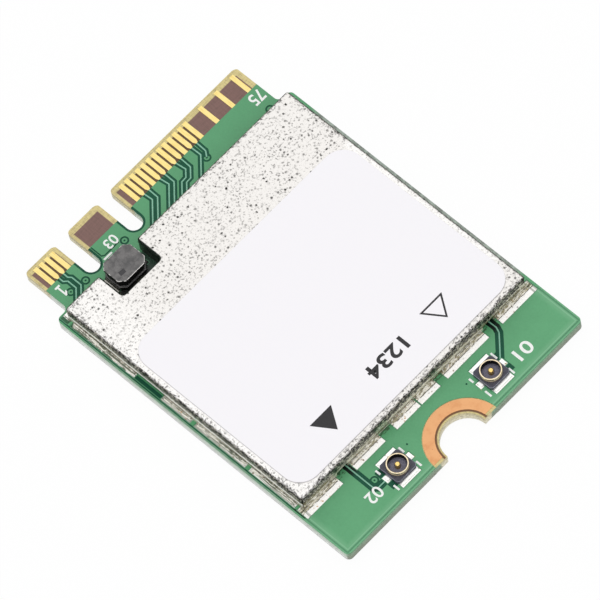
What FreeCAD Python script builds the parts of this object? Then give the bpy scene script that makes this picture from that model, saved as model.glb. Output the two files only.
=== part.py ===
import FreeCAD, Part
import math
import os

# A wireless network card for a keyed edge socket with 75 contact places: a small circuit board that
# carries a soldered shield, a power inductor and two coaxial antenna sockets.
# Millimetres. The origin is the middle of the back face, +X runs across the card towards the last
# contact, +Y runs along the card towards the contacts, and +Z points out of the component side.

# Board layers
LAMINATE_THICKNESS = 0.74
FOIL_THICKNESS = 0.03
MASK_CLEARANCE = 0.05

# Edge contacts and the tongue that carries them
CONTACT_PITCH = 0.5
CONTACT_COUNT = 75
CONTACT_WIDTH = 0.35
CONTACT_LENGTH = 1.7
CONTACT_TIP_MARGIN = 0.3
CONTACT_TRACE_WIDTH = 0.16
CONTACT_TAPER = 0.22
TONGUE_SIDE_MARGIN = 0.675
TONGUE_LENGTH = 4.0
TIP_CORNER_RADIUS = 0.35
TIP_BEVEL_LENGTH = 0.25
TIP_BEVEL_DEPTH = 0.12
KEY_WIDTH = 1.2
KEY_DEPTH = 3.5
KEY_PLACES = ((8, 15), (24, 31))
TOP_GROUND_CONTACTS = (1, 7, 33, 39, 45, 51, 57, 63, 69, 75)
TOP_SIGNAL_CONTACTS = (3, 5, 35, 37, 41, 43, 47, 49, 53, 55)

# Board outline
SHOULDER_WIDTH = 1.075
SHOULDER_FILLET = 0.4
BOARD_CORNER_RADIUS = 0.35
CARD_LENGTH = 30.0

# Screw notch and its copper rings
NOTCH_RADIUS = 1.75
RING_GAP = 0.25
RING_WIDTH = 0.8
RING_EDGE_GAP = 0.2

# Antenna sockets
SOCKET_BASE_SIZE = 1.8
SOCKET_BASE_HEIGHT = 0.28
SOCKET_BASE_CHAMFER = 0.16
SOCKET_RING_RADIUS = 0.75
SOCKET_RING_WALL = 0.1
SOCKET_RING_HEIGHT = 0.34
SOCKET_RING_FOOT_INSET = 0.03
SOCKET_LIP_RADIUS = 0.04
SOCKET_WELL_DEPTH = 0.08
SOCKET_PIN_RADIUS = 0.15
SOCKET_PIN_TAPER = 0.08
SOCKET_PIN_HEIGHT = 0.3
SOCKET_TAB_THICKNESS = 0.08
SOCKET_TAB_REACH = 0.24
SOCKET_GROUND_TAB_WIDTH = 1.5
SOCKET_SIGNAL_TAB_WIDTH = 0.36
SOCKET_PAD_REACH = 0.34
SOCKET_PAD_OVERHANG = 0.08
SOCKET_EDGE_DISTANCE = 1.85
SOCKET_TO_RING_GAP = 0.335

# Shield
SHIELD_SHEET = 0.15
SHIELD_HEADROOM = 0.3
SHIELD_BEND_RADIUS = 0.18
SHIELD_CORNER_RADIUS = 0.2
SHIELD_NOTCH_CORNER_RADIUS = 0.2
SHIELD_SEAM_WIDTH = 0.07
SHIELD_SIDE_MARGIN = 0.55
SHIELD_BACK_MARGIN = 0.45
SHIELD_TO_SOCKET_GAP = 0.66
TRACE_DOOR_OFFSET = 2.465
TRACE_DOOR_WIDTH = 1.0
TRACE_DOOR_HEIGHT = 0.4
SIDE_DOOR_PLACE = 3.06
SIDE_DOOR_WIDTH = 2.42
SIDE_DOOR_HEIGHT = 0.3

# Pads and solder round the shield
SHIELD_PAD_UNDERLAP = 0.3
SHIELD_FRONT_PAD_REACH = 0.65
SHIELD_SIDE_PAD_REACH = 0.31
SHIELD_PAD_END_MARGIN = 0.55
TRACE_PAD_GAP = 1.29
FRONT_PAD_GAPS = ((-2.975, 1.09), (-0.17, 0.12), (1.97, 0.7))
SIDE_PAD_GAPS = ((-0.94, 0.36), (-5.82, 0.35))
BACK_PAD_GAPS = ((-1.2, 0.7), (2.4, 0.7), (6.2, 0.7))
BACK_NOTCH_PAD_GAP = 0.3
SOLDER_WIDTH = 0.2
SOLDER_HEIGHT = 0.28
SOLDER_HOLLOW = 0.38
SOLDER_END_GAP = 0.12

# Label
LABEL_THICKNESS = 0.08
LABEL_SIDE_MARGIN = 0.45
LABEL_FRONT_MARGIN = 0.45
LABEL_LENGTH = 15.35
LABEL_CORNER_RADIUS = 1.5

# Power inductor, which stands in the shield's notch
INDUCTOR_LENGTH = 2.5
INDUCTOR_WIDTH = 2.05
INDUCTOR_HEIGHT = 1.2
INDUCTOR_PLACE = -5.53
INDUCTOR_SHOULDER_GAP = 0.0
INDUCTOR_FLANGE = 0.26
INDUCTOR_CORNER_CUT = 0.38
INDUCTOR_POST_RADIUS = 0.5
INDUCTOR_COIL_WALL = 0.26
INDUCTOR_RESIN_INSET = 0.1
INDUCTOR_TERMINAL_THICKNESS = 0.05
INDUCTOR_TERMINAL_LENGTH = 0.7
INDUCTOR_TERMINAL_RISE = 0.2
INDUCTOR_PAD_REACH = 0.2
INDUCTOR_SIDE_ROOM = 0.5
INDUCTOR_FRONT_ROOM = 0.6

# Chips inside the shield
RADIO_SIZE = 9.0
RADIO_HEIGHT = 0.85
RADIO_PLACE = 1.5
RADIO_LEAD_COUNT = 16
RADIO_LEAD_PITCH = 0.5
RADIO_LEAD_WIDTH = 0.25
RADIO_LEAD_LENGTH = 0.45
RADIO_LEAD_INSET = 0.1
RADIO_HEAT_PAD_SIZE = 5.4
RADIO_STANDOFF = 0.05
FRONT_END_SIZE = 3.0
FRONT_END_HEIGHT = 0.75
DIPLEXER_LENGTH = 1.6
DIPLEXER_WIDTH = 0.8
DIPLEXER_HEIGHT = 0.6
RADIO_FREQUENCY_GAP = 0.6
CRYSTAL_LENGTH = 2.5
CRYSTAL_WIDTH = 2.0
CRYSTAL_BASE_HEIGHT = 0.38
CRYSTAL_LID_HEIGHT = 0.17
CRYSTAL_LID_INSET = 0.12
CRYSTAL_CORNER_RADIUS = 0.15
MEMORY_LENGTH = 3.0
MEMORY_WIDTH = 2.0
MEMORY_HEIGHT = 0.55
REGULATOR_SIZE = 1.8
REGULATOR_HEIGHT = 0.6
CHIP_PAD_COUNT = 3
CHIP_PAD_LENGTH = 0.35
CHIP_PAD_WIDTH = 0.22
CHIP_EDGE_CHAMFER = 0.06
CHIP_GAP = 0.8

# Ceramic capacitors beside the radio chip
CAPACITOR_LENGTH = 1.0
CAPACITOR_WIDTH = 0.5
CAPACITOR_HEIGHT = 0.5
CAPACITOR_CAP_LENGTH = 0.25
CAPACITOR_CAP_PROUD = 0.02
CAPACITOR_PAD_OVERHANG = 0.1
CAPACITOR_PITCH = 1.4
CAPACITORS_PER_ROW = 5
CAPACITOR_ROW_GAP = 0.6

# Sizes that follow from the ones above
LAMINATE_BOTTOM = FOIL_THICKNESS
LAMINATE_TOP = LAMINATE_BOTTOM + LAMINATE_THICKNESS
BOARD_TOP = LAMINATE_TOP + FOIL_THICKNESS
CONTACT_STEP = CONTACT_PITCH / 2
MIDDLE_CONTACT = (CONTACT_COUNT + 1) / 2
TONGUE_HALF = (CONTACT_COUNT - 1) * CONTACT_STEP / 2 + TONGUE_SIDE_MARGIN
CARD_HALF = TONGUE_HALF + SHOULDER_WIDTH
TIP = CARD_LENGTH / 2
TAIL = -CARD_LENGTH / 2
SHOULDER = TIP - TONGUE_LENGTH
CONTACT_END = TIP - CONTACT_TIP_MARGIN
CONTACT_START = CONTACT_END - CONTACT_LENGTH
RING_INNER = NOTCH_RADIUS + RING_GAP
RING_OUTER = RING_INNER + RING_WIDTH
SOCKET_HALF = SOCKET_BASE_SIZE / 2
SOCKET_PLACE = RING_OUTER + SOCKET_TO_RING_GAP + SOCKET_HALF + SOCKET_PAD_REACH
SOCKET_ROW = TAIL + SOCKET_EDGE_DISTANCE
TRACE_DOOR_PLACE = SOCKET_PLACE + TRACE_DOOR_OFFSET
SHIELD_HALF = CARD_HALF - SHIELD_SIDE_MARGIN
SHIELD_BACK = SHOULDER - SHIELD_BACK_MARGIN
SHIELD_PAD_FRONT = SOCKET_ROW + SOCKET_HALF + SOCKET_PAD_REACH + SHIELD_TO_SOCKET_GAP
SHIELD_FRONT = SHIELD_PAD_FRONT + SHIELD_FRONT_PAD_REACH
CRYSTAL_HEIGHT = CRYSTAL_BASE_HEIGHT + CRYSTAL_LID_HEIGHT
TALLEST_CHIP = max(RADIO_HEIGHT, FRONT_END_HEIGHT, DIPLEXER_HEIGHT, CRYSTAL_HEIGHT, MEMORY_HEIGHT,
                   REGULATOR_HEIGHT, CAPACITOR_HEIGHT)
SHIELD_CEILING = BOARD_TOP + TALLEST_CHIP + SHIELD_HEADROOM
SHIELD_TOP = SHIELD_CEILING + SHIELD_SHEET
INDUCTOR_BACK = SHOULDER - INDUCTOR_SHOULDER_GAP
INDUCTOR_ROW = INDUCTOR_BACK - INDUCTOR_WIDTH / 2
NOTCH_SIDE = INDUCTOR_LENGTH / 2 + INDUCTOR_SIDE_ROOM
NOTCH_FRONT = INDUCTOR_BACK - INDUCTOR_WIDTH - INDUCTOR_FRONT_ROOM
RADIO_HALF = RADIO_SIZE / 2
TOOL_REACH = 1.0
SAME_PLACE = 0.000001


def point(x, y, z=0.0):
    return FreeCAD.Vector(x, y, z)


def block(x_span, y_span, z_span):
    corner = point(min(x_span), min(y_span), min(z_span))
    sizes = [max(span) - min(span) for span in (x_span, y_span, z_span)]
    return Part.makeBox(*sizes, corner)


def centred_block(x, y, length, width, z_span):
    return block((x - length / 2, x + length / 2), (y - width / 2, y + width / 2), z_span)


def cylinder(radius, x, y, z_span):
    return Part.makeCylinder(radius, max(z_span) - min(z_span), point(x, y, min(z_span)))


def prism(corners, z_span):
    bottom = [point(x, y, min(z_span)) for x, y in corners]
    face = Part.Face(Part.makePolygon(bottom + bottom[:1]))
    return face.extrude(point(0, 0, max(z_span) - min(z_span)))


def upright_edges(solid, chosen=lambda x, y: True):
    found = []
    for edge in solid.Edges:
        first = edge.Vertexes[0].Point
        last = edge.Vertexes[-1].Point
        upright = math.hypot(first.x - last.x, first.y - last.y) < SAME_PLACE and edge.Length > SAME_PLACE
        if upright and chosen(first.x, first.y):
            found.append(edge)
    return found


def edges_at_height(solid, z):
    return [edge for edge in solid.Edges
            if abs(edge.BoundBox.ZMin - z) < SAME_PLACE and abs(edge.BoundBox.ZMax - z) < SAME_PLACE]


def turned(profile, x, y):
    # A closed outline of (radius, height) points, turned about an upright axis.
    points = [point(x + radius, y, height) for radius, height in profile]
    face = Part.Face(Part.makePolygon(points + points[:1]))
    return face.revolve(point(x, y), point(0, 0, 1), 360)


def fused(solids):
    return solids[0].multiFuse(solids[1:]).removeSplitter()


def grown(solid_box, margin):
    # The window that leaves a margin round a pad or a part.
    box = solid_box.BoundBox
    return block((box.XMin - margin, box.XMax + margin), (box.YMin - margin, box.YMax + margin),
                 (box.ZMin - margin, box.ZMax + margin))


def spans_between(start, end, gaps):
    # The stretches of a strip that its gaps, given as (middle, width), leave over.
    spans = []
    edge = start
    for middle, width in sorted(gaps):
        spans.append((edge, middle - width / 2))
        edge = middle + width / 2
    spans.append((edge, end))
    return spans


def contact_x(number):
    return (number - MIDDLE_CONTACT) * CONTACT_STEP


# Board


def board_outline(z_span):
    corners = [(-CARD_HALF, TAIL), (CARD_HALF, TAIL), (CARD_HALF, SHOULDER), (TONGUE_HALF, SHOULDER),
               (TONGUE_HALF, TIP), (-TONGUE_HALF, TIP), (-TONGUE_HALF, SHOULDER), (-CARD_HALF, SHOULDER)]
    board = prism(corners, z_span)
    for first, last in KEY_PLACES:
        middle = (contact_x(first) + contact_x(last)) / 2
        key_end = TIP - KEY_DEPTH + KEY_WIDTH / 2
        board = board.cut(centred_block(middle, (key_end + TIP + TOOL_REACH) / 2, KEY_WIDTH,
                                        TIP + TOOL_REACH - key_end, z_span))
        board = board.cut(cylinder(KEY_WIDTH / 2, middle, key_end, z_span))
    board = board.makeFillet(TIP_CORNER_RADIUS, upright_edges(board, lambda x, y: y > TIP - SAME_PLACE))
    board = board.makeFillet(SHOULDER_FILLET, upright_edges(board, is_inner_corner))
    board = board.makeFillet(BOARD_CORNER_RADIUS, upright_edges(board, is_outer_corner))
    return board.cut(cylinder(NOTCH_RADIUS, 0, TAIL, z_span))


def is_inner_corner(x, y):
    return abs(y - SHOULDER) < SAME_PLACE and abs(abs(x) - TONGUE_HALF) < SAME_PLACE


def is_outer_corner(x, y):
    return abs(abs(x) - CARD_HALF) < SAME_PLACE


def tip_bevel(z, depth):
    # A wedge along the tip that takes the contact edge off towards one face.
    corners = [(TIP, z), (TIP - TIP_BEVEL_LENGTH, z), (TIP, z + depth)]
    start = -TONGUE_HALF - TOOL_REACH
    points = [point(start, y, height) for y, height in corners]
    face = Part.Face(Part.makePolygon(points + points[:1]))
    return face.extrude(point(-2 * start, 0, 0))


def circuit_board():
    board = board_outline((LAMINATE_BOTTOM, LAMINATE_TOP))
    board = board.cut(tip_bevel(LAMINATE_TOP, -TIP_BEVEL_DEPTH))
    return board.cut(tip_bevel(LAMINATE_BOTTOM, TIP_BEVEL_DEPTH))


def solder_mask(z_span, bare_places):
    mask = board_outline(z_span)
    contact_window = block((-CARD_HALF, CARD_HALF), (CONTACT_START, TIP + TOOL_REACH), z_span)
    ring_window = cylinder(RING_OUTER + MASK_CLEARANCE, 0, TAIL, z_span)
    windows = [grown(place, MASK_CLEARANCE) for place in bare_places]
    return mask.cut([contact_window, ring_window] + windows)


# Edge contacts and rings


def ground_contact(number, z_span):
    return centred_block(contact_x(number), (CONTACT_START + CONTACT_END) / 2, CONTACT_WIDTH,
                         CONTACT_LENGTH, z_span)


def signal_contact(number, z_span):
    # A signal contact narrows to its trace where the lacquer begins.
    x = contact_x(number)
    half = CONTACT_WIDTH / 2
    neck = CONTACT_TRACE_WIDTH / 2
    taper_end = CONTACT_START + CONTACT_TAPER
    corners = [(x - neck, CONTACT_START), (x + neck, CONTACT_START), (x + half, taper_end),
               (x + half, CONTACT_END), (x - half, CONTACT_END), (x - half, taper_end)]
    return prism(corners, z_span)


def top_contacts():
    z_span = (LAMINATE_TOP, BOARD_TOP)
    grounds = [ground_contact(number, z_span) for number in TOP_GROUND_CONTACTS]
    signals = [signal_contact(number, z_span) for number in TOP_SIGNAL_CONTACTS]
    return grounds + signals


def is_keyed_off(number):
    return any(first <= number <= last for first, last in KEY_PLACES)


def bottom_contacts():
    numbers = [number for number in range(2, CONTACT_COUNT, 2) if not is_keyed_off(number)]
    return [ground_contact(number, (0, LAMINATE_BOTTOM)) for number in numbers]


def ground_ring(z_span):
    ring = cylinder(RING_OUTER, 0, TAIL, z_span).cut(cylinder(RING_INNER, 0, TAIL, z_span))
    on_board = block((-RING_OUTER, RING_OUTER), (TAIL + RING_EDGE_GAP, TAIL + RING_OUTER), z_span)
    return ring.common(on_board)


# Shield


def shield_plan(inset, z_span):
    # The shield's plan with its notch, drawn in by an inset all round.
    side = SHIELD_HALF - inset
    front = SHIELD_FRONT + inset
    back = SHIELD_BACK - inset
    left = INDUCTOR_PLACE - NOTCH_SIDE - inset
    right = INDUCTOR_PLACE + NOTCH_SIDE + inset
    deep = NOTCH_FRONT - inset
    corners = [(-side, front), (side, front), (side, back), (right, back), (right, deep), (left, deep),
               (left, back), (-side, back)]
    return prism(corners, z_span)


def with_bent_rim(solid, bend):
    return solid.makeFillet(bend, edges_at_height(solid, solid.BoundBox.ZMax))


def shield_outside():
    solid = shield_plan(0, (BOARD_TOP, SHIELD_TOP))
    inner = upright_edges(solid, lambda x, y: abs(y - NOTCH_FRONT) < SAME_PLACE)
    solid = solid.makeFillet(SHIELD_NOTCH_CORNER_RADIUS, inner)
    outer = upright_edges(solid, lambda x, y: y < SHIELD_FRONT + SAME_PLACE or y > SHIELD_BACK - SAME_PLACE)
    solid = solid.makeFillet(SHIELD_CORNER_RADIUS, outer)
    return with_bent_rim(solid, SHIELD_BEND_RADIUS)


def shield_hollow():
    solid = shield_plan(SHIELD_SHEET, (BOARD_TOP - TOOL_REACH, SHIELD_CEILING))
    return with_bent_rim(solid, SHIELD_BEND_RADIUS - SHIELD_SHEET)


def corner_seam(x, y):
    # A thin upright slit across a folded corner, below the bend.
    top = SHIELD_TOP - SHIELD_BEND_RADIUS
    half = SHIELD_SEAM_WIDTH / 2
    slit = block((-half, half), (-TOOL_REACH, TOOL_REACH), (BOARD_TOP, top))
    slit.rotate(point(0, 0), point(0, 0, 1), -45 if x * y > 0 else 45)
    slit.translate(point(x, y))
    return slit


def shield_doors():
    # Low openings in the walls: over the antenna traces at the front, and one in each side.
    low = BOARD_TOP - TOOL_REACH
    front_wall = (SHIELD_FRONT - TOOL_REACH, SHIELD_FRONT + SHIELD_SHEET + SHIELD_BEND_RADIUS)
    doors = []
    for sign in (-1, 1):
        x = sign * TRACE_DOOR_PLACE
        doors.append(block((x - TRACE_DOOR_WIDTH / 2, x + TRACE_DOOR_WIDTH / 2), front_wall,
                           (low, BOARD_TOP + TRACE_DOOR_HEIGHT)))
        doors.append(block((sign * (SHIELD_HALF - SHIELD_SHEET - SHIELD_BEND_RADIUS),
                            sign * (SHIELD_HALF + TOOL_REACH)),
                           (SIDE_DOOR_PLACE - SIDE_DOOR_WIDTH / 2, SIDE_DOOR_PLACE + SIDE_DOOR_WIDTH / 2),
                           (low, BOARD_TOP + SIDE_DOOR_HEIGHT)))
    return doors


def shield_can():
    seams = [corner_seam(x, y) for x in (-SHIELD_HALF, SHIELD_HALF) for y in (SHIELD_FRONT, SHIELD_BACK)]
    return shield_outside().cut([shield_hollow()] + seams + shield_doors())


def front_pad_spans():
    gaps = FRONT_PAD_GAPS + ((-TRACE_DOOR_PLACE, TRACE_PAD_GAP), (TRACE_DOOR_PLACE, TRACE_PAD_GAP))
    reach = SHIELD_HALF + SHIELD_SIDE_PAD_REACH
    return spans_between(-reach, reach, gaps)


def side_pad_spans():
    gaps = SIDE_PAD_GAPS + ((SIDE_DOOR_PLACE, SIDE_DOOR_WIDTH),)
    return spans_between(SHIELD_FRONT + SHIELD_PAD_END_MARGIN, SHIELD_BACK - SHIELD_PAD_END_MARGIN, gaps)


def back_pad_spans():
    notch_gap = (INDUCTOR_PLACE, 2 * (NOTCH_SIDE + BACK_NOTCH_PAD_GAP))
    reach = SHIELD_HALF + SHIELD_SIDE_PAD_REACH
    return spans_between(-reach, reach, BACK_PAD_GAPS + (notch_gap,))


def shield_pads():
    z_span = (LAMINATE_TOP, BOARD_TOP)
    front = (SHIELD_PAD_FRONT, SHIELD_FRONT + SHIELD_PAD_UNDERLAP)
    back = (SHIELD_BACK - SHIELD_PAD_UNDERLAP, SHIELD_BACK + SHIELD_SIDE_PAD_REACH)
    side = (SHIELD_HALF - SHIELD_PAD_UNDERLAP, SHIELD_HALF + SHIELD_SIDE_PAD_REACH)
    pads = [block(span, front, z_span) for span in front_pad_spans()]
    pads += [block(span, back, z_span) for span in back_pad_spans()]
    for span in side_pad_spans():
        pads.append(block(side, span, z_span))
        pads.append(block((-side[0], -side[1]), span, z_span))
    return pads


def solder_fillet(start, along, outward):
    # A hollow-faced fillet in the corner between a pad and a wall, from start over the vector along.
    width = outward * SOLDER_WIDTH
    height = point(0, 0, SOLDER_HEIGHT)
    low = start + width
    high = start + height
    middle = start + (width + height) * SOLDER_HOLLOW
    edges = [Part.makeLine(start, low), Part.Arc(low, middle, high).toShape(), Part.makeLine(high, start)]
    return Part.Face(Part.Wire(edges)).extrude(along)


def straight_part(span, reach):
    # The part of a pad's span that lies along the straight run of a wall.
    limit = reach - SHIELD_CORNER_RADIUS
    return max(span[0], -limit) + SOLDER_END_GAP, min(span[1], limit) - SOLDER_END_GAP


def shield_solder():
    fillets = []
    for span in front_pad_spans():
        start, end = straight_part(span, SHIELD_HALF)
        fillets.append(solder_fillet(point(start, SHIELD_FRONT, BOARD_TOP), point(end - start, 0),
                                     point(0, -1)))
    for span in back_pad_spans():
        start, end = straight_part(span, SHIELD_HALF)
        fillets.append(solder_fillet(point(start, SHIELD_BACK, BOARD_TOP), point(end - start, 0),
                                     point(0, 1)))
    for low, high in side_pad_spans():
        length = high - low - 2 * SOLDER_END_GAP
        for sign in (-1, 1):
            start = point(sign * SHIELD_HALF, low + SOLDER_END_GAP, BOARD_TOP)
            fillets.append(solder_fillet(start, point(0, length), point(sign, 0)))
    return fillets


def product_label():
    side = SHIELD_HALF - LABEL_SIDE_MARGIN
    front = SHIELD_FRONT + LABEL_FRONT_MARGIN
    label = block((-side, side), (front, front + LABEL_LENGTH), (SHIELD_TOP, SHIELD_TOP + LABEL_THICKNESS))
    return label.makeFillet(LABEL_CORNER_RADIUS, upright_edges(label))


# Antenna sockets, each with its signal tab pointing to one side


def socket_ring_profile():
    # The contact ring's section: a narrower foot moulded into the base, and a lip with eased edges.
    inner = SOCKET_RING_RADIUS - SOCKET_RING_WALL
    moulded_in = SOCKET_RING_RADIUS - SOCKET_RING_FOOT_INSET
    foot = BOARD_TOP + SOCKET_TAB_THICKNESS
    floor = BOARD_TOP + SOCKET_BASE_HEIGHT
    top = floor + SOCKET_RING_HEIGHT
    return [(inner, foot), (moulded_in, foot), (moulded_in, floor), (SOCKET_RING_RADIUS, floor),
            (SOCKET_RING_RADIUS, top - SOCKET_LIP_RADIUS), (SOCKET_RING_RADIUS - SOCKET_LIP_RADIUS, top),
            (inner + SOCKET_LIP_RADIUS, top), (inner, top - SOCKET_LIP_RADIUS)]


def socket_shell(x, signal_side):
    ring = turned(socket_ring_profile(), x, SOCKET_ROW)
    tab_z = (BOARD_TOP, BOARD_TOP + SOCKET_TAB_THICKNESS)
    ring_inner = SOCKET_RING_RADIUS - SOCKET_RING_WALL
    reach = SOCKET_HALF + SOCKET_TAB_REACH
    tabs = []
    for sign in (-1, 1):
        tabs.append(block((x - SOCKET_GROUND_TAB_WIDTH / 2, x + SOCKET_GROUND_TAB_WIDTH / 2),
                          (SOCKET_ROW + sign * ring_inner, SOCKET_ROW + sign * reach), tab_z))
    tabs.append(block((x - signal_side * ring_inner, x - signal_side * reach),
                      (SOCKET_ROW - SOCKET_SIGNAL_TAB_WIDTH / 2, SOCKET_ROW + SOCKET_SIGNAL_TAB_WIDTH / 2),
                      tab_z))
    return fused([ring] + tabs)


def socket_contact(x, signal_side):
    foot = BOARD_TOP + SOCKET_TAB_THICKNESS / 2
    tip = BOARD_TOP + SOCKET_BASE_HEIGHT + SOCKET_PIN_HEIGHT
    pin = cylinder(SOCKET_PIN_RADIUS, x, SOCKET_ROW, (BOARD_TOP, tip))
    pin = pin.makeChamfer(SOCKET_PIN_TAPER, edges_at_height(pin, tip))
    reach = SOCKET_HALF + SOCKET_TAB_REACH
    half_width = SOCKET_SIGNAL_TAB_WIDTH / 2
    tail = block((x, x + signal_side * reach), (SOCKET_ROW - half_width, SOCKET_ROW + half_width),
                 (BOARD_TOP, foot))
    return fused([pin, tail])


def socket_housing(x, shell, contact):
    base = centred_block(x, SOCKET_ROW, SOCKET_BASE_SIZE, SOCKET_BASE_SIZE,
                         (BOARD_TOP, BOARD_TOP + SOCKET_BASE_HEIGHT))
    base = base.makeChamfer(SOCKET_BASE_CHAMFER, upright_edges(base))
    well_floor = BOARD_TOP + SOCKET_BASE_HEIGHT - SOCKET_WELL_DEPTH
    well = cylinder(SOCKET_RING_RADIUS - SOCKET_RING_WALL, x, SOCKET_ROW,
                    (well_floor, BOARD_TOP + SOCKET_BASE_HEIGHT))
    return base.cut([well, shell, contact])


def socket_pads(x):
    z_span = (LAMINATE_TOP, BOARD_TOP)
    near = SOCKET_RING_RADIUS
    far = SOCKET_HALF + SOCKET_PAD_REACH
    ground_half = SOCKET_GROUND_TAB_WIDTH / 2 + SOCKET_PAD_OVERHANG
    signal_half = SOCKET_SIGNAL_TAB_WIDTH / 2 + SOCKET_PAD_OVERHANG
    pads = []
    for sign in (-1, 1):
        pads.append(block((x - ground_half, x + ground_half),
                          (SOCKET_ROW + sign * near, SOCKET_ROW + sign * far), z_span))
        pads.append(block((x + sign * (near + SOCKET_PAD_OVERHANG), x + sign * far),
                          (SOCKET_ROW - signal_half, SOCKET_ROW + signal_half), z_span))
    return pads


# Power inductor: a drum of ferrite with a wound post, filled up with dark resin


def inductor_flange(z_span, inset=0.0):
    flange = centred_block(INDUCTOR_PLACE, INDUCTOR_ROW, INDUCTOR_LENGTH - 2 * inset,
                           INDUCTOR_WIDTH - 2 * inset, z_span)
    return flange.makeChamfer(INDUCTOR_CORNER_CUT, upright_edges(flange))


def inductor_levels():
    foot = BOARD_TOP + INDUCTOR_TERMINAL_THICKNESS
    top = BOARD_TOP + INDUCTOR_HEIGHT
    return foot, foot + INDUCTOR_FLANGE, top - INDUCTOR_FLANGE, top


def inductor_core():
    foot, low, high, top = inductor_levels()
    post = cylinder(INDUCTOR_POST_RADIUS, INDUCTOR_PLACE, INDUCTOR_ROW, (low, high))
    return fused([inductor_flange((foot, low)), post, inductor_flange((high, top))])


def inductor_coil():
    foot, low, high, top = inductor_levels()
    coil = cylinder(INDUCTOR_POST_RADIUS + INDUCTOR_COIL_WALL, INDUCTOR_PLACE, INDUCTOR_ROW, (low, high))
    return coil.cut(cylinder(INDUCTOR_POST_RADIUS, INDUCTOR_PLACE, INDUCTOR_ROW, (low, high)))


def inductor_resin():
    foot, low, high, top = inductor_levels()
    filling = inductor_flange((low, high), INDUCTOR_RESIN_INSET)
    return filling.cut(cylinder(INDUCTOR_POST_RADIUS + INDUCTOR_COIL_WALL, INDUCTOR_PLACE, INDUCTOR_ROW,
                                (low, high)))


def inductor_terminals():
    # Each terminal is an angle of plated copper under one end of the core and up its side.
    foot, low, high, top = inductor_levels()
    half_width = INDUCTOR_WIDTH / 2 - INDUCTOR_CORNER_CUT
    y_span = (INDUCTOR_ROW - half_width, INDUCTOR_ROW + half_width)
    terminals = []
    for sign in (-1, 1):
        end = INDUCTOR_PLACE + sign * INDUCTOR_LENGTH / 2
        outside = end + sign * INDUCTOR_TERMINAL_THICKNESS
        sole = block((end - sign * INDUCTOR_TERMINAL_LENGTH, outside), y_span, (BOARD_TOP, foot))
        rise = block((end, outside), y_span, (foot, foot + INDUCTOR_TERMINAL_RISE))
        terminals.append(fused([sole, rise]))
    return terminals


def inductor_pads():
    half_width = INDUCTOR_WIDTH / 2 - INDUCTOR_CORNER_CUT
    pads = []
    for sign in (-1, 1):
        end = INDUCTOR_PLACE + sign * INDUCTOR_LENGTH / 2
        pads.append(block((end - sign * INDUCTOR_TERMINAL_LENGTH, end + sign * INDUCTOR_PAD_REACH),
                          (INDUCTOR_ROW - half_width, INDUCTOR_ROW + half_width),
                          (LAMINATE_TOP, BOARD_TOP)))
    return pads


# Chips inside the shield


def moulded_chip(x, y, length, width, foot, top):
    chip = centred_block(x, y, length, width, (foot, top))
    return chip.makeChamfer(CHIP_EDGE_CHAMFER, edges_at_height(chip, top))


def radio_chip():
    return moulded_chip(0, RADIO_PLACE, RADIO_SIZE, RADIO_SIZE, BOARD_TOP + RADIO_STANDOFF,
                        BOARD_TOP + RADIO_HEIGHT)


def radio_leads():
    # A heat pad in the middle and a row of leads along each side, standing on the laminate.
    z_span = (LAMINATE_TOP, BOARD_TOP + RADIO_STANDOFF)
    middle = RADIO_HALF - RADIO_LEAD_INSET - RADIO_LEAD_LENGTH / 2
    leads = [centred_block(0, RADIO_PLACE, RADIO_HEAT_PAD_SIZE, RADIO_HEAT_PAD_SIZE, z_span)]
    for index in range(RADIO_LEAD_COUNT):
        along = (index - (RADIO_LEAD_COUNT - 1) / 2) * RADIO_LEAD_PITCH
        for sign in (-1, 1):
            leads.append(centred_block(along, RADIO_PLACE + sign * middle, RADIO_LEAD_WIDTH,
                                       RADIO_LEAD_LENGTH, z_span))
            leads.append(centred_block(sign * middle, RADIO_PLACE + along, RADIO_LEAD_LENGTH,
                                       RADIO_LEAD_WIDTH, z_span))
    return leads


def diplexer_row():
    return SHIELD_FRONT + SHIELD_SHEET + RADIO_FREQUENCY_GAP + DIPLEXER_WIDTH / 2


def front_end_row():
    return diplexer_row() + DIPLEXER_WIDTH / 2 + RADIO_FREQUENCY_GAP + FRONT_END_SIZE / 2


def diplexer(sign):
    return moulded_chip(sign * TRACE_DOOR_PLACE, diplexer_row(), DIPLEXER_LENGTH, DIPLEXER_WIDTH,
                        BOARD_TOP, BOARD_TOP + DIPLEXER_HEIGHT)


def front_end_module(sign):
    return moulded_chip(sign * TRACE_DOOR_PLACE, front_end_row(), FRONT_END_SIZE, FRONT_END_SIZE,
                        BOARD_TOP, BOARD_TOP + FRONT_END_HEIGHT)


def outside_capacitors():
    # How far from the radio chip's middle the capacitor rows end.
    return RADIO_HALF + CAPACITOR_ROW_GAP + CAPACITOR_LENGTH


def crystal_place():
    return outside_capacitors() + CHIP_GAP, RADIO_PLACE + RADIO_HALF


def crystal_base():
    x, y = crystal_place()
    base = centred_block(x, y, CRYSTAL_WIDTH, CRYSTAL_LENGTH, (BOARD_TOP, BOARD_TOP + CRYSTAL_BASE_HEIGHT))
    return base.makeFillet(CRYSTAL_CORNER_RADIUS, upright_edges(base))


def crystal_lid():
    x, y = crystal_place()
    foot = BOARD_TOP + CRYSTAL_BASE_HEIGHT
    lid = centred_block(x, y, CRYSTAL_WIDTH - 2 * CRYSTAL_LID_INSET, CRYSTAL_LENGTH - 2 * CRYSTAL_LID_INSET,
                        (foot, foot + CRYSTAL_LID_HEIGHT))
    return lid.makeFillet(CRYSTAL_CORNER_RADIUS, upright_edges(lid))


def memory_place():
    return -outside_capacitors() - CHIP_GAP / 2 - MEMORY_WIDTH / 2, RADIO_PLACE


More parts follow.
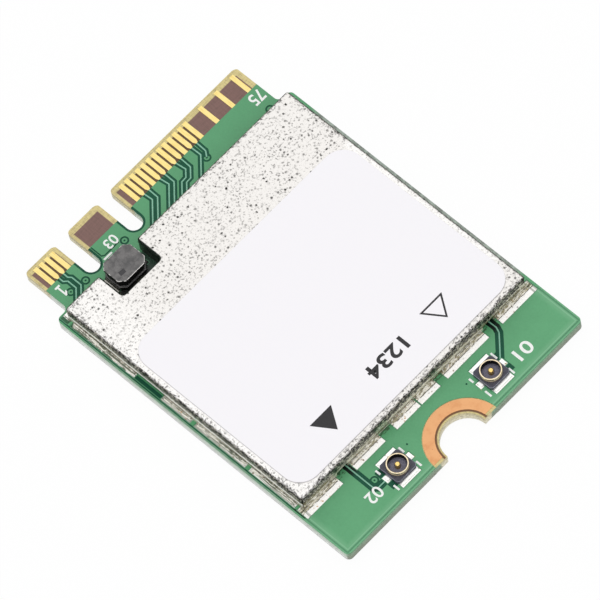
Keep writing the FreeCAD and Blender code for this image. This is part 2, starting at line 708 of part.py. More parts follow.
def memory_chip():
    x, y = memory_place()
    return moulded_chip(x, y, MEMORY_WIDTH, MEMORY_LENGTH, BOARD_TOP, BOARD_TOP + MEMORY_HEIGHT)


def regulator_place():
    # Beside the radio chip, and behind the wall of the inductor's notch.
    x = -RADIO_HALF - CHIP_GAP / 2 - REGULATOR_SIZE / 2
    return x, NOTCH_FRONT - SHIELD_SHEET - CHIP_GAP / 2 - REGULATOR_SIZE / 2


def regulator_chip():
    x, y = regulator_place()
    return moulded_chip(x, y, REGULATOR_SIZE, REGULATOR_SIZE, BOARD_TOP, BOARD_TOP + REGULATOR_HEIGHT)


def chip_pads(x, y, length, width):
    # Two rows of pads under the long edges of a small chip.
    pitch = length / CHIP_PAD_COUNT
    offset = width / 2 - CHIP_PAD_LENGTH / 2
    pads = []
    for index in range(CHIP_PAD_COUNT):
        along = (index - (CHIP_PAD_COUNT - 1) / 2) * pitch
        for sign in (-1, 1):
            pads.append(centred_block(x + along, y + sign * offset, CHIP_PAD_WIDTH, CHIP_PAD_LENGTH,
                                      (LAMINATE_TOP, BOARD_TOP)))
    return pads


# Ceramic capacitors in rows round the radio chip


def capacitor_places():
    # (x, y, turned): the long axis points away from the radio chip.
    distance = RADIO_HALF + CAPACITOR_ROW_GAP + CAPACITOR_LENGTH / 2
    places = []
    for index in range(CAPACITORS_PER_ROW):
        along = (index - (CAPACITORS_PER_ROW - 1) / 2) * CAPACITOR_PITCH
        for sign in (-1, 1):
            places.append((sign * distance, RADIO_PLACE + along, False))
            places.append((along, RADIO_PLACE + sign * distance, True))
    return places


def along_axis(x, y, turned_piece, offset, length, width, z_span):
    # A block at an offset along a capacitor's long axis.
    if turned_piece:
        return centred_block(x, y + offset, width, length, z_span)
    return centred_block(x + offset, y, length, width, z_span)


def capacitor_bodies():
    length = CAPACITOR_LENGTH - 2 * CAPACITOR_CAP_LENGTH
    width = CAPACITOR_WIDTH - 2 * CAPACITOR_CAP_PROUD
    z_span = (BOARD_TOP + CAPACITOR_CAP_PROUD, BOARD_TOP + CAPACITOR_HEIGHT - CAPACITOR_CAP_PROUD)
    return [along_axis(x, y, turned_piece, 0, length, width, z_span)
            for x, y, turned_piece in capacitor_places()]


def capacitor_caps():
    offset = (CAPACITOR_LENGTH - CAPACITOR_CAP_LENGTH) / 2
    z_span = (BOARD_TOP, BOARD_TOP + CAPACITOR_HEIGHT)
    return [along_axis(x, y, turned_piece, sign * offset, CAPACITOR_CAP_LENGTH, CAPACITOR_WIDTH, z_span)
            for x, y, turned_piece in capacitor_places() for sign in (-1, 1)]


def capacitor_pads():
    offset = (CAPACITOR_LENGTH - CAPACITOR_CAP_LENGTH + CAPACITOR_PAD_OVERHANG) / 2
    length = CAPACITOR_CAP_LENGTH + CAPACITOR_PAD_OVERHANG
    z_span = (LAMINATE_TOP, BOARD_TOP)
    return [along_axis(x, y, turned_piece, sign * offset, length, CAPACITOR_WIDTH, z_span)
            for x, y, turned_piece in capacitor_places() for sign in (-1, 1)]


def chip_outlines():
    # (x, y, size along x, size along y) of each small chip.
    outlines = [(*crystal_place(), CRYSTAL_WIDTH, CRYSTAL_LENGTH),
                (*memory_place(), MEMORY_WIDTH, MEMORY_LENGTH),
                (*regulator_place(), REGULATOR_SIZE, REGULATOR_SIZE)]
    for sign in (-1, 1):
        outlines.append((sign * TRACE_DOOR_PLACE, diplexer_row(), DIPLEXER_LENGTH, DIPLEXER_WIDTH))
        outlines.append((sign * TRACE_DOOR_PLACE, front_end_row(), FRONT_END_SIZE, FRONT_END_SIZE))
    return outlines


def component_pads():
    return capacitor_pads() + [pad for outline in chip_outlines() for pad in chip_pads(*outline)]


def component_places():
    # The bare places in the lacquer inside the shield: one for each part, with its pads.
    z_span = (LAMINATE_TOP, BOARD_TOP)
    length = CAPACITOR_LENGTH + 2 * CAPACITOR_PAD_OVERHANG
    places = [centred_block(0, RADIO_PLACE, RADIO_SIZE, RADIO_SIZE, z_span)]
    places += [centred_block(*outline, z_span) for outline in chip_outlines()]
    places += [along_axis(x, y, turned_piece, 0, length, CAPACITOR_WIDTH, z_span)
               for x, y, turned_piece in capacitor_places()]
    return places


# All nodes


def group(solids):
    return Part.makeCompound(solids)


def build():
    socket_places = {"a": SOCKET_PLACE, "b": -SOCKET_PLACE}
    antenna_pads = [pad for x in socket_places.values() for pad in socket_pads(x)]
    bare_places = shield_pads() + antenna_pads + inductor_pads() + component_places()
    nodes = {
        "circuit_board": circuit_board(),
        "solder_mask_top": solder_mask((LAMINATE_TOP, BOARD_TOP), bare_places),
        "solder_mask_bottom": solder_mask((0, LAMINATE_BOTTOM), []),
        "gold_fingers_top": group(top_contacts()),
        "gold_fingers_bottom": group(bottom_contacts()),
        "ground_ring_top": ground_ring((LAMINATE_TOP, BOARD_TOP)),
        "ground_ring_bottom": ground_ring((0, LAMINATE_BOTTOM)),
        "shield_pads": group(shield_pads()),
        "shield_can": shield_can(),
        "shield_solder": group(shield_solder()),
        "product_label": product_label(),
        "antenna_pads": group(antenna_pads),
        "inductor_core": inductor_core(),
        "inductor_coil": inductor_coil(),
        "inductor_resin": inductor_resin(),
        "inductor_terminals": group(inductor_terminals()),
        "inductor_pads": group(inductor_pads()),
        "radio_chip": radio_chip(),
        "radio_chip_leads": group(radio_leads()),
        "crystal_base": crystal_base(),
        "crystal_lid": crystal_lid(),
        "memory_chip": memory_chip(),
        "regulator_chip": regulator_chip(),
        "capacitor_bodies": group(capacitor_bodies()),
        "capacitor_caps": group(capacitor_caps()),
        "component_pads": group(component_pads()),
    }
    for name, x in socket_places.items():
        side = math.copysign(1, x)
        shell = socket_shell(x, side)
        contact = socket_contact(x, side)
        nodes[f"antenna_{name}_shell"] = shell
        nodes[f"antenna_{name}_contact"] = contact
        nodes[f"antenna_{name}_housing"] = socket_housing(x, shell, contact)
        nodes[f"front_end_module_{name}"] = front_end_module(side)
        nodes[f"diplexer_{name}"] = diplexer(side)
    return nodes


os.makedirs("parts", exist_ok=True)
for node_name, node_shape in build().items():
    node_shape.exportStep(f"parts/{node_name}.step")
    print(node_name, "solids", len(node_shape.Solids), "valid", node_shape.isValid())
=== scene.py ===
# %% [markdown]
# # A wireless network card
# The card is a small green circuit board with gold edge contacts, a folded metal shield under a white
# label, a power inductor and two tiny antenna sockets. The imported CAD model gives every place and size.
# This lesson dresses it: it sets up a studio, mixes the finishes, and then models each visible piece over
# its CAD node.

# %% load the CAD frame
import math

import bpy
from mathutils import Matrix, Vector


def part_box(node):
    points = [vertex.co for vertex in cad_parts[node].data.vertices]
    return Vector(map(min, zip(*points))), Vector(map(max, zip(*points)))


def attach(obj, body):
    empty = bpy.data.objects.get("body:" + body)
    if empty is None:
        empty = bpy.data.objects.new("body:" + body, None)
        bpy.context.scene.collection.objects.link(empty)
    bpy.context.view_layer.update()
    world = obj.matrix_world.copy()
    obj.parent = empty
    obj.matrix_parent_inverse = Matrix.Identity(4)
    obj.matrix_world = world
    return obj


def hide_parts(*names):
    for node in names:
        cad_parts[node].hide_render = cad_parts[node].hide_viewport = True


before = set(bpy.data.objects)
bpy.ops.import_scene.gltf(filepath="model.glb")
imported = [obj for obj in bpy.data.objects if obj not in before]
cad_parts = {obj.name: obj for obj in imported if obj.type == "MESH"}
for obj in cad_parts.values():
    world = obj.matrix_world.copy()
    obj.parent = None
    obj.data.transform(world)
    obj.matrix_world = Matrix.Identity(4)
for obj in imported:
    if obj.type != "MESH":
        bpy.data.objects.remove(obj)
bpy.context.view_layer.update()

MM = 0.001
bpy.ops.object.select_all(action="DESELECT")

# %% [markdown]
# ## Camera
# The photograph looks down on the card from far away with a long lens, so parallel edges stay almost
# parallel. The place and the lens were solved from the card's known corners. A camera looks along its own
# -Z, so the columns of its matrix are right, up and backwards.

# %% camera
scene = bpy.context.scene
CAMERA_PLACE = Vector((-0.15107, -0.22040, 0.50233))
LOOKS_ALONG = Vector((0.26629, 0.38767, -0.88250)).normalized()
CAMERA_UP = Vector((0.67890, 0.57450, 0.45722)).normalized()

camera_data = bpy.data.cameras.new("camera")
camera_data.sensor_width = 36
camera_data.lens = 530.1
camera_data.clip_start = 0.01
camera_data.clip_end = 20
camera = bpy.data.objects.new("camera", camera_data)
scene.collection.objects.link(camera)
right = LOOKS_ALONG.cross(CAMERA_UP).normalized()
upright = right.cross(LOOKS_ALONG)
turn = Matrix((right, upright, -LOOKS_ALONG)).transposed().to_4x4()
camera.matrix_world = Matrix.Translation(CAMERA_PLACE) @ turn
scene.camera = camera
scene.view_settings.view_transform = "Standard"
print("camera", round(CAMERA_PLACE.length, 3), "m from the card, lens", round(camera_data.lens), "mm")

# %% [markdown]
# ## Shader sums
# A finish is a little graph of nodes. Wrapping a socket in a class with operators lets a pattern be
# written as a sum, such as `1 - grain * 0.3`, and each operator adds its own Math node. Every other kind
# of node comes from the one method `node`, which makes the settings first and then fills or links the
# inputs.


# %% a socket that can be calculated with
def sum_of(operation):
    """A method that puts a socket and one more value through a Math node."""
    def method(self, other=0.0):
        return self.maths(operation, self, other)
    return method


class Socket:
    def __init__(self, tree, socket=None):
        self.tree = tree
        self.socket = socket

    def node(self, kind, inputs=None, output=0, **settings):
        made = self.tree.nodes.new("ShaderNode" + kind)
        for name, value in settings.items():
            setattr(made, name, value)
        for key, value in (inputs or {}).items():
            if isinstance(value, Socket):
                self.tree.links.new(value.socket, made.inputs[key])
            else:
                made.inputs[key].default_value = value
        return Socket(self.tree, made.outputs[output])

    def maths(self, operation, first, second=0.0):
        return self.node("Math", {0: first, 1: second}, operation=operation)

    __add__ = __radd__ = sum_of("ADD")
    __sub__ = sum_of("SUBTRACT")
    __mul__ = __rmul__ = sum_of("MULTIPLY")
    __lt__ = sum_of("LESS_THAN")
    size = sum_of("ABSOLUTE")
    at_least = sum_of("MAXIMUM")
    at_most = sum_of("MINIMUM")

    def __rsub__(self, other):
        return self.maths("SUBTRACT", other, self)

    def step(self, start, end):
        """A soft step from 0 at start to 1 at end."""
        return self.node("MapRange", {"Value": self, "From Min": start, "From Max": end},
                         interpolation_type="SMOOTHSTEP")

    def inside(self, low, high, soft):
        """1 between low and high, with soft borders."""
        return self.step(low - soft, low + soft) * (1 - self.step(high - soft, high + soft))

    def mix_shaders(self, first, second):
        """The first shader where this share is 0, and the second where it is 1."""
        return self.node("MixShader", {0: self, 1: first, 2: second})


def linear(red, green, blue):
    """A colour written as in a paint program, 0 to 255, as the linear numbers that a shader takes."""
    shares = [channel / 255 for channel in (red, green, blue)]
    return tuple(s / 12.92 if s <= 0.04045 else ((s + 0.055) / 1.055) ** 2.4 for s in shares) + (1.0,)


print("white is", linear(255, 255, 255))

# %% [markdown]
# ## The start of every finish
# Each finish reads the piece's own coordinates, turned into millimetres, so that a grain of 0.1 is a
# tenth of a millimetre everywhere. `Finish` makes the material and holds what the patterns need: the
# three coordinates, noise, specks, and a tone that is painted over layer by layer.


# %% finish helper
SIDE_PADS_FROM = (10.4, 10.45)
BOARD_MIDDLE = (0.4, 0.5)


class Finish:
    def __init__(self, name):
        self.material = bpy.data.materials.new(name)
        self.material.use_nodes = True
        self.tree = self.material.node_tree
        self.shader = self.tree.nodes["Principled BSDF"]
        self.node = Socket(self.tree).node
        self.tone = None
        place = self.node("TexCoord", output="Object")
        self.place = self.node("VectorMath", {"Vector": place, "Scale": 1 / MM}, operation="SCALE")
        self.x, self.y, self.z = (self.node("SeparateXYZ", {0: self.place}, axis) for axis in "XYZ")

    def noise(self, per_mm, detail=2.0, stretch=(1, 1, 1)):
        place = self.node("VectorMath", {0: self.place, 1: stretch}, operation="MULTIPLY")
        sizes = {"Scale": per_mm, "Detail": detail, "Roughness": 0.6}
        return self.node("TexNoise", {"Vector": place, **sizes}, "Fac")

    def warped(self, amount):
        """The place, pushed about by a fine noise, which makes round specks ragged."""
        push = self.node("TexNoise", {"Vector": self.place, "Scale": 7.0}, "Color")
        push = self.node("VectorMath", {"Vector": push, "Scale": amount}, operation="SCALE")
        return self.node("VectorMath", {0: self.place, 1: push})

    def specks(self, per_mm, radius, share, ragged=0.12):
        """Ragged specks in a share of the cells of a jittered grid, each with a depth of its own."""
        cells = {"Vector": self.warped(ragged), "Scale": per_mm}
        distance, colour = (self.node("TexVoronoi", cells, output) for output in ("Distance", "Color"))
        chance, depth = (self.node("SeparateColor", {0: colour}, output) for output in ("Red", "Green"))
        return (chance < share) * (1 - distance.step(radius * 0.5, radius)) * (0.25 + depth * 0.75)

    def tilt(self):
        """1 on faces that look straight up, 0 on upright faces, less on faces that look down."""
        normal = self.node("NewGeometry", output="Normal")
        return self.node("SeparateXYZ", {0: normal}, "Z")

    def wall(self):
        """1 on upright faces, 0 on faces that look up or down."""
        return 1 - self.tilt().size().step(0.35, 0.75)

    def blend(self, first, second, share):
        """Two tones mixed by a share; a tone is a plain colour or a blend made before."""
        first, second = (linear(*tone) if isinstance(tone, tuple) else tone for tone in (first, second))
        return self.node("Mix", {"Factor": share, 6: first, 7: second}, 2, data_type="RGBA")

    def paint(self, tone, share):
        """Lays one more tone over the tone so far."""
        self.tone = self.blend(self.tone, tone, share)

    def beside_shield(self):
        """1 on the narrow strips outside the shield's two side walls."""
        return self.x.size().step(*SIDE_PADS_FROM)

    def front_face(self):
        """1 on the component side of the board, 0 on its back."""
        return self.z.step(*BOARD_MIDDLE)

    def bump(self, height, depth_mm):
        return self.node("Bump", {"Height": height, "Distance": depth_mm * MM, "Strength": 1.0})

    def give(self, **values):
        """Sets the shader's sockets, with the tone as its colour: numbers directly, patterns by a link."""
        for name, value in {"Base_Color": self.tone, **values}.items():
            socket = self.shader.inputs[name.replace("_", " ")]
            if isinstance(value, Socket):
                self.tree.links.new(value.socket, socket)
            else:
                socket.default_value = value
        return self.material


print("finish helper ready")

# %% [markdown]
# ## Studio
# A product photograph like this is lit by a very large soft panel above and behind the object and a smaller
# one in front, over a white table. The metal mirrors the large panel, so its place decides which faces look
# bright. Through Light Path the table shows white to the camera, with a little of its own shading for the
# shadow, and dim in reflections. Rays that leave the card's underside pass it, so that the back is lit too.

# %% table
TABLE_WIDTH = 6
TABLE_BELOW = 0.00003
bpy.ops.mesh.primitive_plane_add(size=TABLE_WIDTH, location=(0, 0, -TABLE_BELOW))
table = bpy.context.object
table.name = "table"

WHITE = (1, 1, 1, 1)
TABLE_GLOW = 0.93
TABLE_MIRRORED = 0.2
TABLE_CLEAR_WITHIN = 0.0003
table_finish = Finish("table_white")
table_finish.give(Base_Color=linear(250, 250, 250), Roughness=0.9)
seen = table_finish.node("LightPath", output="Is Camera Ray")
mirrored = table_finish.node("LightPath", output="Is Glossy Ray")
behind = table_finish.node("NewGeometry", output="Backfacing")
under_card = table_finish.node("LightPath", output="Ray Length") < TABLE_CLEAR_WITHIN
glow = table_finish.node("Emission", {"Color": WHITE, "Strength": 1.0})
dusk = table_finish.node("Emission", {"Color": WHITE, "Strength": TABLE_MIRRORED})
own = Socket(table_finish.tree, table_finish.shader.outputs[0])
lit = mirrored.mix_shaders((seen * TABLE_GLOW).mix_shaders(own, glow), dusk)
clear = table_finish.node("BsdfTransparent")
from_above = behind.at_least(under_card).mix_shaders(lit, clear)
surface = table_finish.tree.nodes["Material Output"].inputs["Surface"]
table_finish.tree.links.new(from_above.socket, surface)
table.data.materials.append(table_finish.material)
print("table", round(table.dimensions.x), "m wide")

# %% world and soft panel
world = bpy.data.worlds.new("studio")
scene.world = world
world.use_nodes = True
room = Socket(world.node_tree)
seen = room.node("LightPath", output="Is Camera Ray")
dim = room.node("Background", {"Color": (0.99, 0.99, 1.0, 1), "Strength": 0.6})
white = room.node("Background", {"Color": WHITE, "Strength": 1.0})
sky = seen.mix_shaders(dim, white)
world.node_tree.links.new(sky.socket, world.node_tree.nodes["World Output"].inputs["Surface"])


def soft_panel(name, place, aim, width, brightness):
    """A square panel of an even brightness, turned towards a point."""
    bpy.ops.object.light_add(type="AREA", location=place)
    panel = bpy.context.object
    panel.name = name
    panel.data.shape = "SQUARE"
    panel.data.size = width
    panel.data.energy = brightness * math.pi * width * width
    panel.rotation_euler = (Vector(aim) - Vector(place)).to_track_quat("-Z", "Y").to_euler()
    return panel


soft_panel("panel_above", (0.36, 0.52, 1.05), (0.05, 0.1, 0), width=2.3, brightness=0.58)
soft_panel("panel_front", (-0.45, -0.66, 0.95), (0, 0, 0), width=0.9, brightness=1.2)
print("world and two panels ready")

# %% [markdown]
# ## Modelling in millimetres
# Blender's bevel, fill and merge tools use small fixed tolerances that suit things of a metre or so. The
# card's finest details are a hundredth of a millimetre, so every piece is modelled with one unit for a
# millimetre and scaled down when it is finished. The helpers below select by place, cut, copy a CAD node,
# and finish a piece.


# %% selecting and editing helpers
HAIR = 0.0001
NEAR = 0.001


def only(obj):
    bpy.ops.object.select_all(action="DESELECT")
    obj.select_set(True)
    bpy.context.view_layer.objects.active = obj


def enter_edit(obj, mode="VERT", action="SELECT"):
    """Opens a piece in edit mode with all of it selected, or none."""
    only(obj)
    bpy.ops.object.mode_set(mode="EDIT")
    bpy.ops.mesh.select_mode(type=mode)
    bpy.ops.mesh.select_all(action=action)


def leave_edit():
    bpy.ops.object.mode_set(mode="OBJECT")


def edit(obj, mode, chosen):
    """Opens a piece in edit mode with the chosen faces or edges selected."""
    enter_edit(obj, mode, "DESELECT")
    leave_edit()
    items = obj.data.polygons if mode == "FACE" else obj.data.edges
    for item in items:
        item.select = chosen(item)
    bpy.ops.object.mode_set(mode="EDIT")


def corners_of(obj, edge):
    return [obj.data.vertices[index].co for index in edge.vertices]


def is_near(place, *levels):
    return any(abs(place - level) < NEAR for level in levels)


def round_edges(obj, chosen, radius, segments):
    edit(obj, "EDGE", chosen)
    bpy.ops.mesh.bevel(offset=radius, segments=segments, affect="EDGES", clamp_overlap=False)
    leave_edit()


def round_uprights(obj, radius, segments, chosen=lambda corner: True):
    """Rounds the upright edges, or those with a chosen corner."""
    def is_upright(edge):
        start, end = corners_of(obj, edge)
        return (start - end).xy.length < HAIR < abs(start.z - end.z) and chosen(start)
    round_edges(obj, is_upright, radius, segments)


def round_rim(obj, height, radius, segments):
    """Rounds the edges that lie at one height."""
    def lies_there(edge):
        return all(abs(corner.z - height) < HAIR for corner in corners_of(obj, edge))
    round_edges(obj, lies_there, radius, segments)


def apply_modifier(obj, kind, **settings):
    only(obj)
    modifier = obj.modifiers.new(kind.lower(), kind)
    for name, value in settings.items():
        setattr(modifier, name, value)
    bpy.ops.object.modifier_apply(modifier=modifier.name)


def cut(obj, cutter):
    apply_modifier(obj, "BOOLEAN", operation="DIFFERENCE", solver="EXACT", use_self=True, object=cutter)
    bpy.data.objects.remove(cutter)


def tidy_mesh(obj):
    """Merges doubled points and turns the faces outwards."""
    enter_edit(obj)
    bpy.ops.mesh.remove_doubles(threshold=0.0002)
    bpy.ops.mesh.normals_make_consistent(inside=False)
    leave_edit()


print("editing helpers ready")


# %% starting shapes
def bake_place(obj):
    only(obj)
    bpy.ops.object.transform_apply(location=True, rotation=True, scale=True)


def box(name, low, high):
    """A cube stretched between two corners."""
    low, high = Vector(low), Vector(high)
    bpy.ops.mesh.primitive_cube_add(size=1, location=(low + high) / 2, scale=high - low)
    obj = bpy.context.object
    obj.name = name
    bake_place(obj)
    return obj


def lathe(name, profile, steps):
    """One point is extruded along a profile of (radius, height) and then spun about an upright axis."""
    bpy.ops.mesh.primitive_plane_add(size=0.1)
    obj = bpy.context.object
    obj.name = name
    enter_edit(obj)
    bpy.ops.mesh.merge(type="CENTER")
    radius, height = profile[0]
    bpy.ops.transform.translate(value=(radius, 0, height))
    for next_radius, next_height in profile[1:]:
        move = {"value": (next_radius - radius, 0, next_height - height)}
        bpy.ops.mesh.extrude_region_move(TRANSFORM_OT_translate=move)
        radius, height = next_radius, next_height
    bpy.ops.mesh.select_all(action="SELECT")
    bpy.ops.mesh.spin(steps=steps, angle=2 * math.pi, center=(0, 0, 0), axis=(0, 0, 1))
    leave_edit()
    tidy_mesh(obj)
    return obj


def plate(name, outlines, bottom, top, soft=0.0):
    """Closed flat outlines, filled and raised to a thin plate; soft rounds its edges."""
    curve = bpy.data.curves.new(name, "CURVE")
    curve.dimensions = "2D"
    curve.fill_mode = "BOTH"
    for outline in outlines:
        spline = curve.splines.new("POLY")
        spline.points.add(len(outline) - 1)
        for corner, (x, y) in zip(spline.points, outline):
            corner.co = (x, y, 0, 1)
        spline.use_cyclic_u = True
    curve.extrude = (top - bottom) / 2 - soft
    curve.bevel_depth = soft
    curve.bevel_resolution = 1
    curve.offset = -soft
    obj = bpy.data.objects.new(name, curve)
    scene.collection.objects.link(obj)
    only(obj)
    bpy.ops.object.convert(target="MESH")
    obj.location.z = (top + bottom) / 2
    bake_place(obj)
    tidy_mesh(obj)
    return obj


def ribbon(points, width):
    """The closed outline of a strip of some width along a path, with mitred bends."""
    path = [Vector(point) for point in points]
    sides = []
    for index, here in enumerate(path):
        before = (here - path[index - 1]).normalized() if index else None
        after = (path[index + 1] - here).normalized() if index + 1 < len(path) else None
        along = ((before or after) + (after or before)).normalized()
        across = Vector((-along.y, along.x))
        mitre = along.dot(after or before)
        sides.append((here, across * (width / 2 / mitre)))
    left = [here + half for here, half in sides]
    return [tuple(p) for p in left + [here - half for here, half in reversed(sides)]]


def circle(x, y, radius, count=24):
    angles = [2 * math.pi * index / count for index in range(count)]
    return [(x + radius * math.cos(a), y + radius * math.sin(a)) for a in angles]


print("starting shapes ready")


# %% copying a CAD node and finishing a piece
SHARP_FROM = 30


def copy_of(node, name):
    """A CAD node's mesh as a new object: merged, with its flat faces whole again, in millimetres."""
    obj = bpy.data.objects.new(name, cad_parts[node].data.copy())
    scene.collection.objects.link(obj)
    obj.data.materials.clear()
    obj.scale = (1 / MM,) * 3
    bake_place(obj)
    bpy.ops.mesh.customdata_custom_splitnormals_clear()
    enter_edit(obj)
    bpy.ops.mesh.remove_doubles(threshold=0.0005)
    bpy.ops.mesh.dissolve_limited(angle_limit=math.radians(0.5))
    leave_edit()
    return obj


def softened(node, name, radius, segments=2):
    """A copy of a CAD node with its sharp edges rounded."""
    obj = copy_of(node, name)
    enter_edit(obj, "EDGE", "DESELECT")
    bpy.ops.mesh.edges_select_sharp(sharpness=math.radians(SHARP_FROM))
    bpy.ops.mesh.bevel(offset=radius, segments=segments, affect="EDGES", clamp_overlap=True)
    leave_edit()
    return obj


def join(name, parts):
    only(parts[0])
    for part in parts:
        part.select_set(True)
    if len(parts) > 1:
        bpy.ops.object.join()
    parts[0].name = name
    return parts[0]


def place_copy(obj, name, x, y, half_turn=False):
    """A copy with its own mesh, moved to a place and turned half round where asked."""
    twin = obj.copy()
    twin.data = obj.data.copy()
    twin.name = name
    scene.collection.objects.link(twin)
    twin.location = (x, y, 0)
    twin.rotation_euler = (0, 0, math.pi if half_turn else 0)
    bake_place(twin)
    return twin


def finish(obj, materials, nodes=(), smooth=40):
    """Smooths a piece, scales it to metres, gives it its finishes and rides it on the card."""
    only(obj)
    bpy.ops.object.shade_smooth_by_angle(angle=math.radians(smooth))
    apply_modifier(obj, "WEIGHTED_NORMAL", keep_sharp=True)
    obj.scale = (MM,) * 3
    bake_place(obj)
    for material in materials:
        obj.data.materials.append(material)
    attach(obj, "root")
    if nodes:
        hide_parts(*nodes)
    print(obj.name, "faces", len(obj.data.polygons))
    return obj


def dress(material, *nodes):
    """Gives carried-over CAD nodes a finish."""
    for node in nodes:
        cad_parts[node].material_slots[0].material = material
    print("dressed", *nodes)


print("finishing helpers ready")

# %% [markdown]
# ## Laminate
# The board is glass cloth in a yellowish resin. Where a layer of copper lies inside it, it looks brown.
# On the tongue the inner copper stops short of the edges, so a pale margin shows round the brown. The
# routed sides are paler, partly as painted light that whitens them towards the bottom, and darker in
# front as painted shade; they show the layers as fine lines. Painted shade also darkens the brown between
# the gold contacts and lays a dark line along the copper ring's inner edge. All of this is painted by
# place, since the laminate is one body.

# %% laminate finish
INNER_COPPER = ((-9.72, -7.52), (-5.80, -3.58), (-1.80, 9.52))
INNER_COPPER_Y = (12.5, 14.5)
CONTACT_ROWS = ((-9.25, -7.75), (-1.25, 4.75))
TONGUE_BARE = (12.6, 12.7)
NOTCH_CENTRE = (0, -15, 0.77)
NOTCH_BARE = (3.4, 3.6)
RING_SHADOW_LINE = (1.86, 2.02)
SOFT = 0.03
BROWN = (126, 94, 87)
RESIN = (219, 203, 140)

laminate = Finish("laminate")
weave = laminate.noise(9, 1, (1, 0.15, 1)) + laminate.noise(9, 1, (0.15, 1, 1))
copper_below = laminate.x.inside(*INNER_COPPER[0], SOFT)
for low, high in INNER_COPPER[1:]:
    copper_below = copper_below.at_least(laminate.x.inside(low, high, SOFT))
copper_below = copper_below * laminate.y.inside(*INNER_COPPER_Y, SOFT)
from_notch = laminate.node("VectorMath", {0: laminate.place, 1: NOTCH_CENTRE}, "Value",
                           operation="DISTANCE")
tongue = laminate.y.step(*TONGUE_BARE)
laminate.tone = laminate.blend((104, 170, 130), RESIN, tongue.at_least(1 - from_notch.step(*NOTCH_BARE)))
laminate.paint(BROWN, copper_below)
# Painted shade: the brown is darker between the gold contacts, where they shade the laminate.
for low, high in CONTACT_ROWS:
    laminate.paint((92, 64, 34), laminate.x.inside(low, high, SOFT) * copper_below)
# Painted shadow: a dark brown line along the copper ring's inner edge.
laminate.paint((120, 80, 44), from_notch.inside(*RING_SHADOW_LINE, SOFT))
print("laminate faces ready")

# %% routed sides of the laminate
FRONT_SIDE = (-14.9, -14.7)
NOTCH_SIDE = (2.3, 2.5)
layers = laminate.noise(7, 2, (0.2, 0.2, 3))
# Painted light: the sides whiten towards the bottom, and the front side is painted darker as shade.
side = laminate.blend((255, 255, 252), (216, 236, 218), laminate.z.step(0.05, 0.7))
shaded_front_side = laminate.blend((158, 168, 150), (148, 184, 154), laminate.z.step(0.2, 0.7))
side = laminate.blend(shaded_front_side, side, laminate.y.step(*FRONT_SIDE))
pale_side = laminate.blend((248, 242, 216), (222, 212, 172), laminate.z.step(0.2, 0.75))
side = laminate.blend(side, pale_side, tongue.at_least(1 - from_notch.step(*NOTCH_SIDE)))
side = laminate.blend(side, (104, 104, 84), layers.step(0.55, 0.75) * 0.35)
laminate.paint(side, laminate.wall())
laminate.paint((90, 70, 60), (weave - 0.85).at_least(0) * 0.8)
laminate.give(Roughness=0.55, Normal=laminate.bump(weave, 0.006))
dress(laminate.material, "circuit_board")

# %% [markdown]
# ## Lacquer
# The green coat is one thin film, yet it shows several tones: light where copper lies below, dark where
# there is none, palest along the thin signal lines and deeper at the board's edges. Each tone is a finish
# of its own with the same faint cloudiness and the orange-peel surface of a sprayed film. Two of them
# also change by place: the coat turns grey in strips beside the shield and is dirty along its front wall,
# and painted shade darkens it in the notch round the inductor and where the lines pass under the shield.


# %% lacquer finishes
def lacquer(name, light, dark, gloss=0.25, places=None):
    """A glossy film of two close tones; places is a function that paints it by place."""
    coat = Finish(name)
    cloud = coat.noise(0.7, 3) * 0.6 + coat.noise(5, 2) * 0.4
    coat.tone = coat.blend(light, dark, cloud.step(0.3, 0.75))
    if places:
        places(coat)
    return coat.give(Roughness=0.38 + coat.noise(3, 2) * 0.12, Normal=coat.bump(coat.noise(7, 2), 0.004),
                     Coat_Weight=gloss, Coat_Roughness=0.25, Specular_IOR_Level=gloss * 2)


print("lacquer helper ready")

# %% lacquer changed by place
CARD_SIDE, CARD_TAIL = 11, -15
LIP_FROM_EDGE = 0.32
LIP_ENDS = (-11.2, -10.9)
TONGUE_SHADE = (10.8, 11.2)
STRIP_X, STRIP_Y = (10.8, 10.84), (-9.6, 8.6)
DIRT_END_X, DIRT_Y = (9.5, 9.6), (-10.9, -10.3)
INDUCTOR_SHADE_X, INDUCTOR_SHADE_Y = (-7.5, -3.4), (8, 10.2)
SHADE_TURNS_GREEN = (-4.6, -4.2)
DOOR_SHADE_Y = (-11.3, -10)


def paint_lip(coat):
    """A paler line that follows the board's edge, and a darker tongue."""
    from_edge = (CARD_SIDE - coat.x.size()).at_most(coat.y - CARD_TAIL)
    line = from_edge.inside(LIP_FROM_EDGE - 0.04, LIP_FROM_EDGE + 0.04, 0.04)
    lip = line.at_least((1 - from_edge.step(0.35, 0.75)) * 0.35) * (1 - coat.y.step(*LIP_ENDS))
    coat.paint((124, 182, 140), lip)
    coat.paint((70, 144, 96), coat.y.step(*TONGUE_SHADE) * 0.5)


